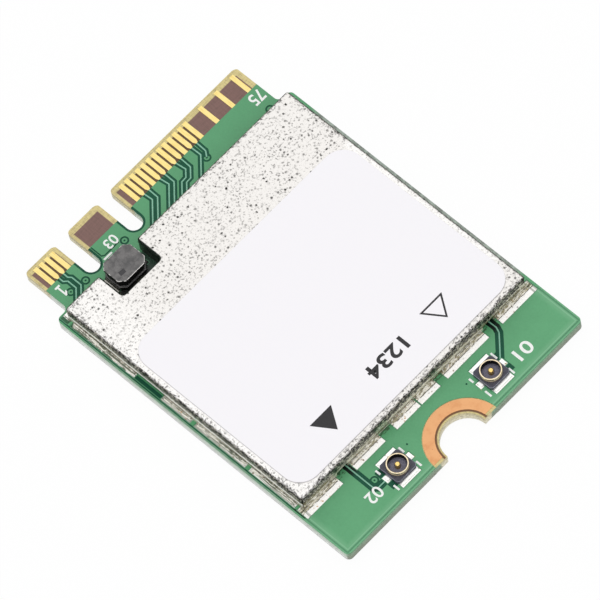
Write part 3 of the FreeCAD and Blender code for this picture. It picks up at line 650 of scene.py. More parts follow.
def paint_strips_dirt_and_shade(coat):
    """Grey strips beside the shield, dirt along its front wall, and painted shade in the notch round the
    inductor.
    """
    stain = coat.blend((126, 126, 123), (176, 186, 178), coat.noise(2.5, 3).step(0.35, 0.65))
    front = coat.front_face()
    strip = coat.x.size().step(*STRIP_X) * coat.y.inside(*STRIP_Y, 0.6) * front
    coat.paint(stain, strip * (0.3 + coat.x.step(0, 1) * 0.6))
    dirt = coat.noise(7, 3, (0.5, 1, 1)).step(0.48, 0.56) * coat.y.inside(*DIRT_Y, 0.05)
    coat.paint((44, 66, 40), dirt * front * (1 - coat.x.size().step(*DIRT_END_X)) * 0.8)
    # Painted shade in the notch round the inductor: near-black streaks, turning dark green to the right.
    flux = coat.blend((12, 14, 10), (70, 70, 52), coat.noise(4, 3, (1, 0.3, 1)).step(0.55, 0.66))
    flux = coat.blend(flux, (10, 62, 38), coat.x.step(*SHADE_TURNS_GREEN))
    coat.paint(flux, coat.x.inside(*INDUCTOR_SHADE_X, SOFT) * coat.y.inside(*INDUCTOR_SHADE_Y, 0.1) * front)


def lip_strips_dirt_and_shade(coat):
    paint_lip(coat)
    paint_strips_dirt_and_shade(coat)


def shade_by_door(coat):
    """Dark where the antenna lines pass under the shield."""
    coat.paint((6, 26, 18), coat.y.inside(*DOOR_SHADE_Y, 0.25) * coat.front_face())


over_copper = lacquer("lacquer_over_copper", (86, 163, 111), (79, 155, 104), places=lip_strips_dirt_and_shade)
over_laminate = lacquer("lacquer_over_laminate", (18, 86, 62), (10, 74, 52), 0.08, shade_by_door)
over_edge = lacquer("lacquer_over_edge", (72, 142, 98), (64, 132, 90))
over_lines = lacquer("lacquer_over_lines", (132, 188, 162), (114, 176, 144))
print("lacquer tones ready")

# %% [markdown]
# ## Metal finishes
# Gold plating, bare copper and tin differ in colour, but all mirror the panel with a slight blur. Plating
# has fine rolling lines, copper has stains from handling, and tin has freckles of flux. The pads in front
# of the shield are domed a little, and solder has run out over them in a streaky band with a dark edge.
# The narrow pads at its sides are striped grey-green.


# %% gold and copper
def plating(name, light, dark, roughness):
    metal = Finish(name)
    grain = metal.noise(14, 2, (1, 0.12, 1))
    metal.tone = metal.blend(light, dark, grain.step(0.4, 0.75))
    return metal.give(Metallic=1.0, Roughness=roughness + grain * 0.14, Normal=metal.bump(grain, 0.003))


gold_plating = plating("gold_plating", (242, 222, 148), (234, 206, 124), 0.24)
pale_gold = plating("pale_gold", (250, 234, 202), (230, 206, 160), 0.2)
shaded_gold = plating("shaded_gold", (56, 50, 46), (34, 30, 30), 0.3)
gold_pin = plating("gold_pin", (255, 222, 140), (246, 206, 118), 0.2)

copper = Finish("bare_copper")
stain = copper.noise(1.6, 4)
dots = copper.specks(5, 0.22, 0.12)
copper.tone = copper.blend((230, 173, 122), (220, 158, 108), stain.step(0.45, 0.75))
copper.paint((150, 84, 50), dots * 0.7)
bare_copper = copper.give(Metallic=0.85, Roughness=0.36 + stain * 0.2, Normal=copper.bump(stain, 0.01))
print("gold and copper ready")


# %% tin
DOME_FRONT = -11.7
DOME_BACK = (-10.7, -10.6)


def tin(name, bright, dull, freckles, shine, stains=None, slope=0.0):
    """Mottled tin with freckles of flux; stains paints it by place, and slope lifts it to the shield."""
    metal = Finish(name)
    mottle = metal.noise(9, 3)
    flux = metal.specks(4, 0.34, freckles)
    scorch = metal.blend((60, 48, 36), (206, 160, 112), metal.noise(1.5, 2).step(0.4, 0.6))
    metal.tone = metal.blend(bright, dull, mottle.step(0.45, 0.8))
    metal.paint(scorch, flux)
    if stains:
        stains(metal)
    in_front = 1 - metal.y.step(*DOME_BACK)
    lift = mottle * (0.012 - shine * 0.01) + metal.y.at_least(DOME_FRONT) * in_front * slope
    return metal.give(Metallic=shine - metal.beside_shield() * (shine * 0.8),
                      Roughness=(0.54 - shine * 0.4) + mottle * 0.2, Normal=metal.bump(lift, 1.0))


print("tin helper ready")

# %% tin changed by place
WETTED_BAND = (-10.82, -10.4)
BAND_EDGE = (-10.87, -10.81)
LACQUERED_RIM = (10.72, 10.75)
BURNT_FROM = (0.92, 0.96)
UNSHADED_LINE = (-6.94, -6.87)


def bands_and_stripes(metal):
    """The wetted band in front, stripes and blotches on the side pads, and lacquer on their rims."""
    streaks = metal.noise(9, 3, (0.35, 1.4, 1)).step(0.46, 0.58)
    wetted = metal.blend((246, 242, 226), (160, 152, 116), streaks)
    ragged = metal.y + (metal.noise(3, 3) - 0.5) * 0.12
    metal.paint(wetted, ragged.inside(*WETTED_BAND, 0.02))
    dark_line = ragged.inside(*BAND_EDGE, 0.02) * metal.noise(2.5, 2).step(0.35, 0.5)
    metal.paint((46, 40, 28), dark_line * 0.9)
    stripes = metal.noise(12, 2, (1, 0.04, 1)).step(0.48, 0.53) * (0.6 + metal.y.step(-3, 3) * 0.4)
    blotches = metal.noise(4, 3, (1, 0.5, 1)).step(0.47, 0.56) * metal.y.step(-3, 6)
    metal.paint((76, 92, 62), stripes.at_least(blotches) * metal.beside_shield() * 0.9)
    rim = metal.x.size() + (metal.noise(3, 3) - 0.5) * 0.18 + metal.y.step(9.8, 10) * 0.2
    metal.paint((40, 92, 60), rim.step(*LACQUERED_RIM) * metal.y.step(-2, 2))


def dark_upper_rim(metal):
    """Lengthwise lines at the sides, streaks elsewhere, and burnt flux where the solder ends."""
    on_side = metal.beside_shield()
    lines = metal.noise(12, 2, (0.8, 0.03, 0.8)).step(0.48, 0.53) * on_side
    metal.paint((84, 94, 70), lines * 0.9)
    streaks = metal.noise(7, 3, (0.4, 1.6, 1.6)).step(0.46, 0.56) * (1 - on_side)
    metal.paint((138, 128, 88), streaks * 0.85)
    height = metal.z + (metal.noise(4, 3) - 0.5) * 0.5
    burnt = height.step(*BURNT_FROM) * metal.noise(2, 2).step(0.4, 0.55) * (0.5 - on_side * 0.05)
    metal.paint((38, 34, 24), burnt)


def shade_but_one_line(metal):
    """Painted shade darkens the pad beside the inductor, all but a thin line."""
    metal.paint((24, 23, 20), 1 - metal.x.inside(*UNSHADED_LINE, 0.015))


tinned_pad = tin("tinned_pad", (255, 253, 249), (252, 248, 241), 0.5, 0.6, bands_and_stripes, 0.2)
bright_pad = tin("bright_pad", (255, 254, 251), (250, 247, 241), 0.3, 0.85)
solder = tin("solder", (252, 248, 236), (232, 226, 206), 0.5, 0.08, dark_upper_rim)
dark_tin = tin("dark_tin", (96, 94, 88), (40, 39, 37), 0.3, 0.08)
# The inductor pads: tin under painted shade, all but a thin line.
shaded_pad = tin("shaded_pad", (250, 246, 236), (214, 208, 190), 0.2, 0.08, shade_but_one_line)
print("tin ready")

# %% [markdown]
# ## Shield sheet
# The shield is tinned steel with a peppered surface: a bright ground, fine grey worms a tenth of a
# millimetre wide and scattered dark pits. Along the fold a dark grainy band is painted as reflection and
# shade, with a dark line along the far rim. Below it, the walls carry the lengthwise lines of the rolling
# and mirror the pads, and the left wall has a thin painted highlight.

# %% shield top
SHIELD_SIDE, SHIELD_FRONT, SHIELD_BACK = 10.45, -10.6, 10.55
BY_LABEL_X, BY_LABEL_Y = (9.8, 10.0), (-8.4, 5.0)
BRIGHT_LEFT_END = (-9.5, -5)
DARK_TIN = (48, 46, 44)

shield = Finish("shield_sheet")
from_far_rim = (SHIELD_SIDE - shield.x).at_most(SHIELD_BACK - shield.y)
from_rim = from_far_rim.at_most(SHIELD_SIDE + shield.x).at_most(shield.y - SHIELD_FRONT)
fine = shield.noise(11, 2)
patches = shield.noise(0.4, 2).step(0.3, 0.7)
worms = shield.noise(6.5, 1.5).step(0.53, 0.7) * (0.55 + patches * 0.45)
pits = shield.specks(3, 0.34, 0.55)
rim_pits = shield.specks(5, 0.42, 0.75) * (1 - from_rim.step(0.1, 0.45))
by_label = shield.x.size().step(*BY_LABEL_X) * shield.y.inside(*BY_LABEL_Y, 0.4)
pepper = (worms * 0.68).at_least(pits).at_least(rim_pits) * (1 - by_label * 0.7)
shield.tone = shield.blend((243, 241, 238), (235, 232, 228), shield.x.step(*BRIGHT_LEFT_END))
shield.paint((247, 245, 242), by_label)
shield.paint((216, 213, 208), fine.step(0.45, 0.8))
shield.paint(DARK_TIN, pepper)
print("shield top ready")

# %% shield walls
UPPER_WALL = (1.2, 1.55)
SIDE_WALLS_FROM = (10.2, 10.3)

rolling = shield.noise(5, 2, (0.05, 0.05, 0.8))
across = shield.noise(7, 3, (0.5, 1, 1))
along = shield.noise(7, 3, (1, 0.5, 1))
grains = across + (along - across) * shield.x.size().step(*SIDE_WALLS_FROM)
rim_streaks = grains.step(0.54, 0.62) * (1 - from_rim.step(0.2, 0.45))
rim_streaks = rim_streaks * (1 - by_label * shield.x.step(0, 1) * 0.5)
shield.paint(DARK_TIN, rim_streaks * 0.8)
dapples = shield.noise(6.5, 3)
on_wall = shield.wall()
off_level = 1 - shield.tilt().step(0.9, 0.99)
wall_tone = shield.blend((246, 242, 222), (134, 128, 92), rolling.step(0.45, 0.56))
wall_tone = shield.blend(wall_tone, (252, 250, 242), dapples.step(0.55, 0.62))
# Painted shade: dark grains on the walls, heavier on the upper wall below the fold.
dark_share = 0.35 + shield.z.step(*UPPER_WALL) * 0.65
wall_tone = shield.blend(wall_tone, (30, 28, 22), grains.step(0.49, 0.57) * dark_share)
shield.paint(wall_tone, on_wall)
print("shield walls ready")

# %% shield folds, lines and notch
FOLD_DARK_HEIGHT = (1.5, 2.05)
FAR_RIM_HEIGHT = (1.6, 1.9)
LEFT_WALL = (-10.42, -10.38)
HIGHLIGHT_LINE = (1.19, 1.38)
NOTCH_SHADE_X, NOTCH_SHADE_Y = (-7.55, -3.5), (8.05, 8.1)

# Painted reflection and shade: a dark grainy band along the fold and a dark line along the far rim.
ragged_height = shield.z + (grains - 0.5) * 0.9
fold_dark_band = ragged_height.inside(*FOLD_DARK_HEIGHT, 0.05) * off_level
ragged_rim = from_far_rim + (grains - 0.5) * 0.3
far_rim = (1 - ragged_rim.step(0.09, 0.15)) * shield.z.step(*FAR_RIM_HEIGHT)
fold_dark_band = fold_dark_band.at_least(far_rim * 0.75)
fold_dark_tone = shield.blend((24, 22, 20), (196, 191, 178), shield.noise(6, 3).step(0.5, 0.6))
shield.paint(fold_dark_tone, fold_dark_band * 0.92)
# Painted highlight: a thin white line along the left wall, without metal shine so that it stays bright.
left_wall = 1 - shield.x.step(*LEFT_WALL)
highlight_line = shield.z.inside(*HIGHLIGHT_LINE, SOFT) * left_wall * on_wall
shield.paint((255, 255, 252), highlight_line)
in_notch = shield.x.inside(*NOTCH_SHADE_X, SOFT) * shield.y.step(*NOTCH_SHADE_Y) * off_level
shield.paint((14, 36, 25), in_notch * 0.93)
shield_sheet = shield.give(Metallic=1 - (on_wall * 0.6).at_least(highlight_line), Roughness=0.3 + fine * 0.12,
                           Normal=shield.bump(fine - pepper * 0.6, 0.004))
print("shield sheet ready")

# %% [markdown]
# ## Plastics, ferrite and print
# The remaining finishes are quiet ones: the label's coated paper, printing ink, the sockets' dark
# moulding, the inductor's grey ferrite and black resin, white legend ink, and the cases of the parts
# inside.


# %% quiet finishes
def quiet(name, light, dark, per_mm, roughness, depth_mm, **more):
    """Two close tones in a fine grain, with a shallow bump."""
    stuff = Finish(name)
    grain = stuff.noise(per_mm, 3)
    stuff.tone = stuff.blend(light, dark, grain.step(0.35, 0.7))
    return stuff.give(Roughness=roughness + grain * 0.1, Normal=stuff.bump(grain, depth_mm), **more)


label_paper = quiet("label_paper", (248, 246, 249), (247, 245, 248), 30, 0.42, 0.0002)
# Painted shade: a greyer paper for the label's sides.
shaded_label_edge = quiet("shaded_label_edge", (226, 224, 226), (218, 216, 218), 30, 0.5, 0.0002)
printing_ink = quiet("printing_ink", (30, 29, 31), (40, 38, 41), 12, 0.5, 0.002)
legend_ink = quiet("legend_ink", (250, 250, 248), (236, 240, 236), 10, 0.55, 0.003)
socket_moulding = quiet("socket_moulding", (68, 68, 82), (54, 54, 66), 8, 0.42, 0.004)
# Painted highlight: a paler grey for the rounded top edge of the socket base.
socket_rim_highlight = quiet("socket_rim_highlight", (140, 142, 156), (104, 105, 118), 6, 0.4, 0.004)
# Painted light: the well floor is the moulding painted lighter, to make up for the shade in the well.
socket_well_lit = quiet("socket_well_lit", (120, 117, 134), (92, 90, 104), 6, 0.45, 0.006)
ferrite_mark = quiet("ferrite_mark", (64, 63, 65), (54, 53, 55), 14, 0.6, 0.006)
black_resin = quiet("black_resin", (26, 25, 25), (12, 12, 12), 6, 0.4, 0.01, Specular_IOR_Level=0.2)
chip_case = quiet("chip_case", (52, 52, 54), (38, 38, 40), 10, 0.55, 0.006)
white_ceramic = quiet("white_ceramic", (228, 226, 218), (210, 207, 198), 6, 0.5, 0.004)
tan_ceramic = quiet("tan_ceramic", (176, 140, 104), (158, 122, 88), 8, 0.5, 0.004)
coil_wire = quiet("coil_wire", (196, 122, 70), (160, 92, 50), 5, 0.3, 0.004, Metallic=0.8)
print("quiet finishes ready")


# %% ferrite
def ferrite(name, chips):
    """Mottled grey on top and black on its sides, partly resin smear and partly painted shade, with a share
    of pale chips.
    """
    stone = Finish(name)
    grain = stone.noise(14, 3)
    cloud = stone.noise(2.2, 3) * 0.7 + grain * 0.3
    stone.tone = stone.blend((120, 118, 117), (88, 87, 87), cloud.step(0.36, 0.64))
    # The sides are black, partly resin smear and partly painted shade.
    stone.paint((24, 23, 23), stone.wall())
    chipped = stone.noise(4, 3).step(1 - chips, 1.06 - chips)
    stone.paint((236, 232, 228), chipped)
    return stone.give(Roughness=0.5 + grain * 0.1, Normal=stone.bump(grain, 0.008),
                      Specular_IOR_Level=0.3)


ferrite_grey = ferrite("ferrite", 0.0)
ferrite_chips = ferrite("ferrite_chips", 0.5)
ferrite_highlit_rim = ferrite("ferrite_highlit_rim", 0.62)
print("ferrite ready")

# %% [markdown]
# ## Green coat with its signal lines
# Each pair of signal lines leaves its two gold contacts, runs straight back and slants away under the
# shield. Round the lines the copper is cleared, which shows as dark channels. The coat is a copy of the
# CAD node, and the channels are cut into it as shallow trenches; their floors take the dark tone. The
# lines are laid inside.

# %% signal lines and channels
COAT_FOOT, COAT_TOP = (corner.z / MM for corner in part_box("solder_mask_top"))
CHANNEL_FLOOR = COAT_FOOT + 0.012
OVERCUT = 0.1
LINE_WIDTH = 0.095
CHANNEL_WIDTH = 0.4
LINE_PATHS = [
    [(-8.72, 13.05), (-8.72, 12.62), (-8.50, 12.40), (-8.50, 11.66), (-9.0, 11.16)],
    [(-8.30, 13.05), (-8.30, 12.60), (-8.14, 12.40), (-8.14, 11.56), (-8.6, 11.10)],
    [(-0.70, 13.05), (-0.64, 12.34), (-1.60, 11.38)],
    [(-0.27, 13.05), (-0.29, 12.20), (-1.19, 11.30)],
    [(0.78, 13.05), (0.88, 12.30), (-0.12, 11.30)],
    [(1.23, 13.05), (1.22, 12.16), (0.36, 11.30)],
    [(2.28, 13.05), (2.38, 12.22), (1.94, 11.78), (1.54, 11.76), (1.08, 11.30)],
    [(2.73, 13.05), (2.70, 12.10), (2.12, 11.52), (1.72, 11.50), (1.50, 11.28)],
    [(3.76, 13.05), (3.78, 12.20), (2.86, 11.28)],
    [(4.24, 13.05), (4.20, 12.16), (3.92, 11.80)],
]
RUNS_UNDER = 0.6
ANTENNA_CHANNEL_WIDTH = 0.56
ANTENNA_LINE_WIDTH = 0.09
ANTENNA_PATHS = [
    [(7.0, -10.3), (7.02, -11.1), (6.86, -11.5), (6.35, -12.02), (5.52, -12.85)],
    [(-6.45, -10.3), (-6.45, -12.95), (-6.24, -13.16), (-5.5, -13.16)],
]
PAD_CHANNELS = [
    [(5.42, -12.3), (5.42, -14.0)],
    [(-5.42, -12.3), (-5.42, -14.0)],
]


def run_on(path, length):
    """The path with its last stretch made longer."""
    before, end = Vector(path[-2]), Vector(path[-1])
    return path[:-1] + [tuple(end + (end - before).normalized() * length)]


def sunk(name, outlines, floor=CHANNEL_FLOOR):
    """A cutter that sinks outlines into the coat, down to a floor."""
    return plate(name, outlines, floor, COAT_TOP + OVERCUT)


def channel_plates(paths, width, floor=CHANNEL_FLOOR):
    return [sunk("channel", [ribbon(path, width)], floor) for path in paths]


line_paths = [run_on(path, RUNS_UNDER) for path in LINE_PATHS[:-1]] + LINE_PATHS[-1:]
channels = channel_plates(line_paths, CHANNEL_WIDTH)
channels += channel_plates(ANTENNA_PATHS, ANTENNA_CHANNEL_WIDTH)
channels += channel_plates(PAD_CHANNELS, ANTENNA_CHANNEL_WIDTH)
print("channels", len(channels))

# %% via rings and copper borders
# A via is a small plated hole: the coat shows it as a light disc in a dark ring.
VIA_PLACES = [(-8.94, 11.70), (-7.72, 11.55), (-3.98, 11.64), (3.88, 11.74), (9.14, 11.05),
              (-6.02, -12.62)]
PIT_PLACES = [(2.80, -12.42), (-2.80, -12.45), (-6.62, -13.1)]
VIA_DISC = 0.19
VIA_RING = 0.31
VIA_DIMPLE = 0.07
BORDER_FLOOR = CHANNEL_FLOOR + 0.007
BORDER_WIDTH = 0.1
KEY_BORDER_WIDTH = 0.2
BORDER_SIDE = 10.84
BORDER_TAIL = -14.83
BORDER_HEAD = 10.9
BORDER_START = -11.1
BORDER_END = 2.5
KEY_CENTRES = ((-6.625, 12.1), (-2.625, 12.1))
KEY_BORDER_RADIUS = 0.66
KEY_MOUTH = 13.1
KEY_STEPS = 16


def key_border(x, y):
    """A border that follows the rounded end of a key slot and runs up both its sides."""
    angles = [-math.pi * index / KEY_STEPS for index in range(KEY_STEPS + 1)]
    arc = [(x + KEY_BORDER_RADIUS * math.cos(a), y + KEY_BORDER_RADIUS * math.sin(a)) for a in angles]
    return [(x + KEY_BORDER_RADIUS, KEY_MOUTH)] + arc + [(x - KEY_BORDER_RADIUS, KEY_MOUTH)]


def edge_borders(start, end):
    """Borders down both sides of the card and in along its tail."""
    return [[(side * BORDER_SIDE, start), (side * BORDER_SIDE, BORDER_TAIL), (side * end, BORDER_TAIL)]
            for side in (-1, 1)]


GROOVE_PATHS = [[(-BORDER_SIDE, BORDER_HEAD), (-BORDER_SIDE, BORDER_START)],
                [(-5.78, 12.95), (-5.78, 12.0), (-5.6, 11.86), (-4.3, 11.86)]]
# Painted shade: a trench below the left wall's low door takes the dark channel tone.
SIDE_DOOR_SHADE = [(-10.62, 4.2), (-10.62, 1.92)]
SIDE_DOOR_SHADE_WIDTH = 0.26
channels += channel_plates(edge_borders(BORDER_START, BORDER_END), BORDER_WIDTH, BORDER_FLOOR)
channels += channel_plates(GROOVE_PATHS, BORDER_WIDTH)
channels += channel_plates([SIDE_DOOR_SHADE], SIDE_DOOR_SHADE_WIDTH)
channels += channel_plates([key_border(x, y) for x, y in KEY_CENTRES], KEY_BORDER_WIDTH)
for x, y in PIT_PLACES:
    channels.append(sunk("pit", [circle(x, y, VIA_DIMPLE, 12)]))
for x, y in VIA_PLACES:
    channels.append(sunk("via_ring", [circle(x, y, VIA_RING), circle(x, y, VIA_DISC)]))
    channels.append(sunk("via_dimple", [circle(x, y, VIA_DIMPLE, 12)]))
print("cutters", len(channels))


# %% cut the coat and tone its channels
def tone_faces(obj, chosen, finish_number=1):
    """The chosen faces take the second finish, or another by its number."""
    for face in obj.data.polygons:
        if chosen(face):
            face.material_index = finish_number


BORDER_MIDDLE = (BORDER_FLOOR + COAT_TOP) / 2
top_coat = copy_of("solder_mask_top", "green_coat_top")
cut(top_coat, join("channels", channels))
tone_faces(top_coat, lambda face: CHANNEL_FLOOR - NEAR < face.center.z < COAT_TOP - NEAR)
tone_faces(top_coat, lambda face: is_near(face.center.z, BORDER_FLOOR, BORDER_MIDDLE), 2)
finish(top_coat, [over_copper, over_laminate, over_edge], ["solder_mask_top"], smooth=20)

# %% lay the signal lines in their channels
LINE_TOP = COAT_TOP - 0.003
LINE_SOFT = 0.006
line_outlines = [ribbon(path, LINE_WIDTH) for path in line_paths]
line_outlines += [ribbon(path, ANTENNA_LINE_WIDTH) for path in ANTENNA_PATHS]
signal_lines = plate("signal_lines", line_outlines, CHANNEL_FLOOR, LINE_TOP, LINE_SOFT)
finish(signal_lines, [over_lines])

# %% [markdown]
# ## Gold contacts, copper rings and pads
# These are flat pieces of foil, etched to shape and then plated, so their edges are soft, not sharp. A
# copy of each CAD node gets its edges rounded by the bevel tool, and the light then draws a thin line
# along each one.

# %% foil pieces
FOIL_EDGE = 0.011


def soft_piece(node, name, coat, radius=FOIL_EDGE, segments=2):
    """A copy of a CAD node with softened edges and one finish."""
    finish(softened(node, name, radius, segments), [coat], [node])


for node, name, slot, coat in (("gold_fingers", "edge_contacts", "gold", gold_plating),
                               ("ground_ring", "copper_ring", "bare_copper", bare_copper)):
    for end in ("_top", "_bottom"):
        soft_piece(node + end, name + end, coat)
for node, coat in (("shield_pads", tinned_pad), ("antenna_pads", bright_pad),
                   ("inductor_pads", shaded_pad)):
    soft_piece(node, "tinned_" + node, coat)

# %% [markdown]
# ## Shield
# The real shield is one sheet, cut flat and folded down on all sides, with a notch for the inductor. Here
# a box gets the notch cut out, its upright corners and then its rim rounded like a fold, the open bottom
# removed, and Solidify gives it the sheet's thickness. Slits at the corners and low doors in the walls
# come last.

# %% fold the shield
shield_low, shield_high = (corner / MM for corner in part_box("shield_can"))
NOTCH_X = (-7.28, -3.78)
NOTCH_Y = 8.35
CORNER_RADIUS = 0.2
NOTCH_CORNER_RADIUS = 0.2
FOLD_RADIUS = 0.18
SHEET = 0.15
REACH = 1
NOTCH_CUT_TOP = 3
OUTER_CORNERS_FROM = 10

can = box("shield", shield_low, shield_high)
cut(can, box("notch", (NOTCH_X[0], NOTCH_Y, 0), (NOTCH_X[1], shield_high.y + REACH, NOTCH_CUT_TOP)))
round_uprights(can, NOTCH_CORNER_RADIUS, 5, lambda corner: is_near(corner.y, NOTCH_Y))
round_uprights(can, CORNER_RADIUS, 6, lambda corner: abs(corner.y) > OUTER_CORNERS_FROM)
round_rim(can, shield_high.z, FOLD_RADIUS, 8)
edit(can, "FACE", lambda face: face.normal.z < -0.9)
bpy.ops.mesh.delete(type="FACE")
leave_edit()
apply_modifier(can, "SOLIDIFY", thickness=SHEET, offset=-1, use_even_offset=True)
print("folded shield faces", len(can.data.polygons))

# %% slits and doors
DOOR_X = 6.84
DOOR_WIDTH = 1.0
DOOR_HEIGHT = 0.4
SIDE_DOOR_Y = (1.85, 4.27)
SIDE_DOOR_HEIGHT = 0.3
SLIT_WIDTH = 0.07
DOOR_DEPTH = 0.5


def corner_slit(x, y):
    """A cutter for the seam between two folded walls, up to the fold."""
    half = SLIT_WIDTH / 2
    slit = box("slit", (-half, -REACH, shield_low.z - OVERCUT), (half, REACH, shield_high.z - FOLD_RADIUS))
    slit.rotation_euler.z = math.radians(-45 if x * y > 0 else 45)
    slit.location = (x, y, 0)
    bake_place(slit)
    return slit


openings = [corner_slit(x, y)
            for x in (shield_low.x, shield_high.x) for y in (shield_low.y, shield_high.y)]
for sign in (-1, 1):
    low_x, high_x = (sign * DOOR_X + half for half in (-DOOR_WIDTH / 2, DOOR_WIDTH / 2))
    openings.append(box("door", (low_x, shield_low.y - REACH, 0),
                        (high_x, shield_low.y + DOOR_DEPTH, shield_low.z + DOOR_HEIGHT)))
    wall_x = sign * shield_high.x
    openings.append(box("side_door", (wall_x - DOOR_DEPTH, SIDE_DOOR_Y[0], 0),
                        (wall_x + DOOR_DEPTH, SIDE_DOOR_Y[1], shield_low.z + SIDE_DOOR_HEIGHT)))
cut(can, join("openings", openings))
finish(can, [shield_sheet], ["shield_can"], smooth=35)

# %% [markdown]
# ## Solder round the shield
# Solder wets the pad and the wall and freezes in a hollow, lumpy fillet. The CAD fillets are copied,
# rebuilt as a fine even mesh by Remesh, and pushed in and out by a cloud texture with Displace.

# %% lumpy solder
lumps = bpy.data.textures.new("solder_lumps", "CLOUDS")
lumps.noise_scale = 0.28
lumps.noise_depth = 2
fillets = copy_of("shield_solder", "solder_fillets")
apply_modifier(fillets, "REMESH", mode="VOXEL", voxel_size=0.04)
apply_modifier(fillets, "DISPLACE", texture=lumps, texture_coords="LOCAL", strength=0.14, mid_level=0.5)
apply_modifier(fillets, "SMOOTH", factor=0.5, iterations=2)
finish(fillets, [solder], ["shield_solder"], smooth=180)

# %% [markdown]
# ## Label and print
# The label is die-cut paper with round corners, stuck on the shield. A box gets its upright edges rounded
# wide and its upper rim slightly. The print lies on it as a film of ink: two triangles that tell the two
# antenna sockets apart, and a plain number.

# %% label
LABEL_CORNER = 1.5
LABEL_EDGE = 0.015
LABEL_TOP = 2.176
label_low, label_high = (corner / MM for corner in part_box("product_label"))
label = box("label", label_low, (label_high.x, label_high.y, LABEL_TOP))
round_uprights(label, LABEL_CORNER, 14)
round_rim(label, LABEL_TOP, LABEL_EDGE, 2)
# The label's sides take the greyer finish as painted shade.
tone_faces(label, lambda face: face.center.z < LABEL_TOP - NEAR)
finish(label, [label_paper, shaded_label_edge], ["product_label"], smooth=35)


# %% lettering helper
def lettering(name, words, low, high, bottom, top, weight):
    """Digits fitted into a flat box, upside down as the card lies; weight thickens the strokes."""
    bpy.ops.object.text_add()
    obj = bpy.context.object
    obj.name = name
    obj.data.body = words
    obj.data.extrude = 0.5
    obj.data.offset = weight
    bpy.ops.object.convert(target="MESH")
    obj.rotation_euler.z = math.pi
    bake_place(obj)
    corners = [Vector(corner) for corner in obj.bound_box]
    first, last = corners[0], corners[6]
    size = last - first
    wanted = Vector((high[0] - low[0], high[1] - low[1], top - bottom))
    obj.scale = [want / side for want, side in zip(wanted, size)]
    obj.location = [low[axis] - first[axis] * obj.scale[axis] for axis in (0, 1)] + [(bottom + top) / 2]
    bake_place(obj)
    tidy_mesh(obj)
    return obj


print("lettering helper ready")

# %% print on the label
PRINT_FOOT = LABEL_TOP - 0.002
PRINT_TOP = label_high.z - 0.0005
PRINT_WEIGHT = 0.025
OUTLINE_SHARE = 0.77
OPEN_TRIANGLE = [(4.07, -7.26), (6.16, -7.26), (5.11, -8.83)]
OPEN_TRIANGLE_CENTRE = (5.11, -7.82)
SOLID_TRIANGLE = [(-6.31, -7.38), (-4.32, -7.38), (-5.31, -8.93)]


def shrunk(outline, centre, share):
    return [tuple(c + (p - c) * share for p, c in zip(point, centre)) for point in outline]


hollow = shrunk(OPEN_TRIANGLE, OPEN_TRIANGLE_CENTRE, OUTLINE_SHARE)
label_print = [
    plate("open_triangle", [OPEN_TRIANGLE, hollow], PRINT_FOOT, PRINT_TOP),
    plate("solid_triangle", [SOLID_TRIANGLE], PRINT_FOOT, PRINT_TOP),
    lettering("label_digits", "1234", (-1.2, -8.4), (2.1, -7.3), PRINT_FOOT, PRINT_TOP, PRINT_WEIGHT),
]
finish(join("label_print", label_print), [printing_ink], smooth=20)

# %% [markdown]
# ## White legend on the board
# The legend is screen-printed ink: numbers at the ends of the contact rows and beside each part, and
# short strokes that mark the sockets' outlines. All of it carries plain numbers. The font's 1 would be
# stretched to a bar in its narrow box, so that one is drawn, with a flag and a foot.

# %% legend
INK_FOOT = COAT_TOP - 0.004
INK_TOP = COAT_TOP + 0.012
LEGEND = [("75", (8.71, 11.84), (9.71, 12.77)), ("03", (-5.09, 11.87), (-4.14, 12.64)),
          ("01", (6.28, -14.05), (7.61, -13.08)), ("02", (-7.37, -13.78), (-6.2, -12.9))]
LEGEND_WEIGHT = 0.015
ONE_LOW, ONE_HIGH = (-9.5, 11.73), (-9.04, 12.67)
ONE_SHARES = [(0.08, 0), (0.96, 0), (0.96, 0.15), (0.66, 0.15), (0.66, 1), (0.42, 1), (0.05, 0.8),
              (0.05, 0.62), (0.4, 0.78), (0.4, 0.15), (0.08, 0.15)]
STROKE_WIDTH = 0.14
STROKES = [
    [(5.41, -12.1), (5.41, -12.68)], [(5.37, -13.72), (5.37, -14.25)],
    [(3.17, -12.3), (3.17, -12.7)], [(3.2, -13.69), (3.2, -14.25)],
    [(-5.48, -12.2), (-5.48, -12.63)], [(-5.48, -13.8), (-5.48, -14.3)],
    [(-3.33, -12.2), (-3.33, -12.7)], [(-3.31, -13.72), (-3.31, -14.2)],
    [(-5.86, 11.67), (-5.13, 11.67)],
]

legend = [lettering("legend_digits", words, low, high, INK_FOOT, INK_TOP, LEGEND_WEIGHT)
          for words, low, high in LEGEND]
lone_one = [tuple(top - share * (top - bottom) for share, bottom, top in zip(shares, ONE_LOW, ONE_HIGH))
            for shares in ONE_SHARES]
legend.append(plate("legend_one", [lone_one], INK_FOOT, INK_TOP))
strokes = [ribbon(stroke, STROKE_WIDTH) for stroke in STROKES]
legend.append(plate("legend_strokes", strokes, INK_FOOT, INK_TOP))
finish(join("legend", legend), [legend_ink], smooth=20)

# %% [markdown]
# ## Antenna sockets
# A tiny coaxial socket is a moulded base with a turned ring and a centre pin, and flat tabs that reach
# out over the pads. It is modelled once, round the origin, and copied to both places; the second is
# turned half round, since its signal line comes from the other side. The ring and the pin are spun from
# their profiles.

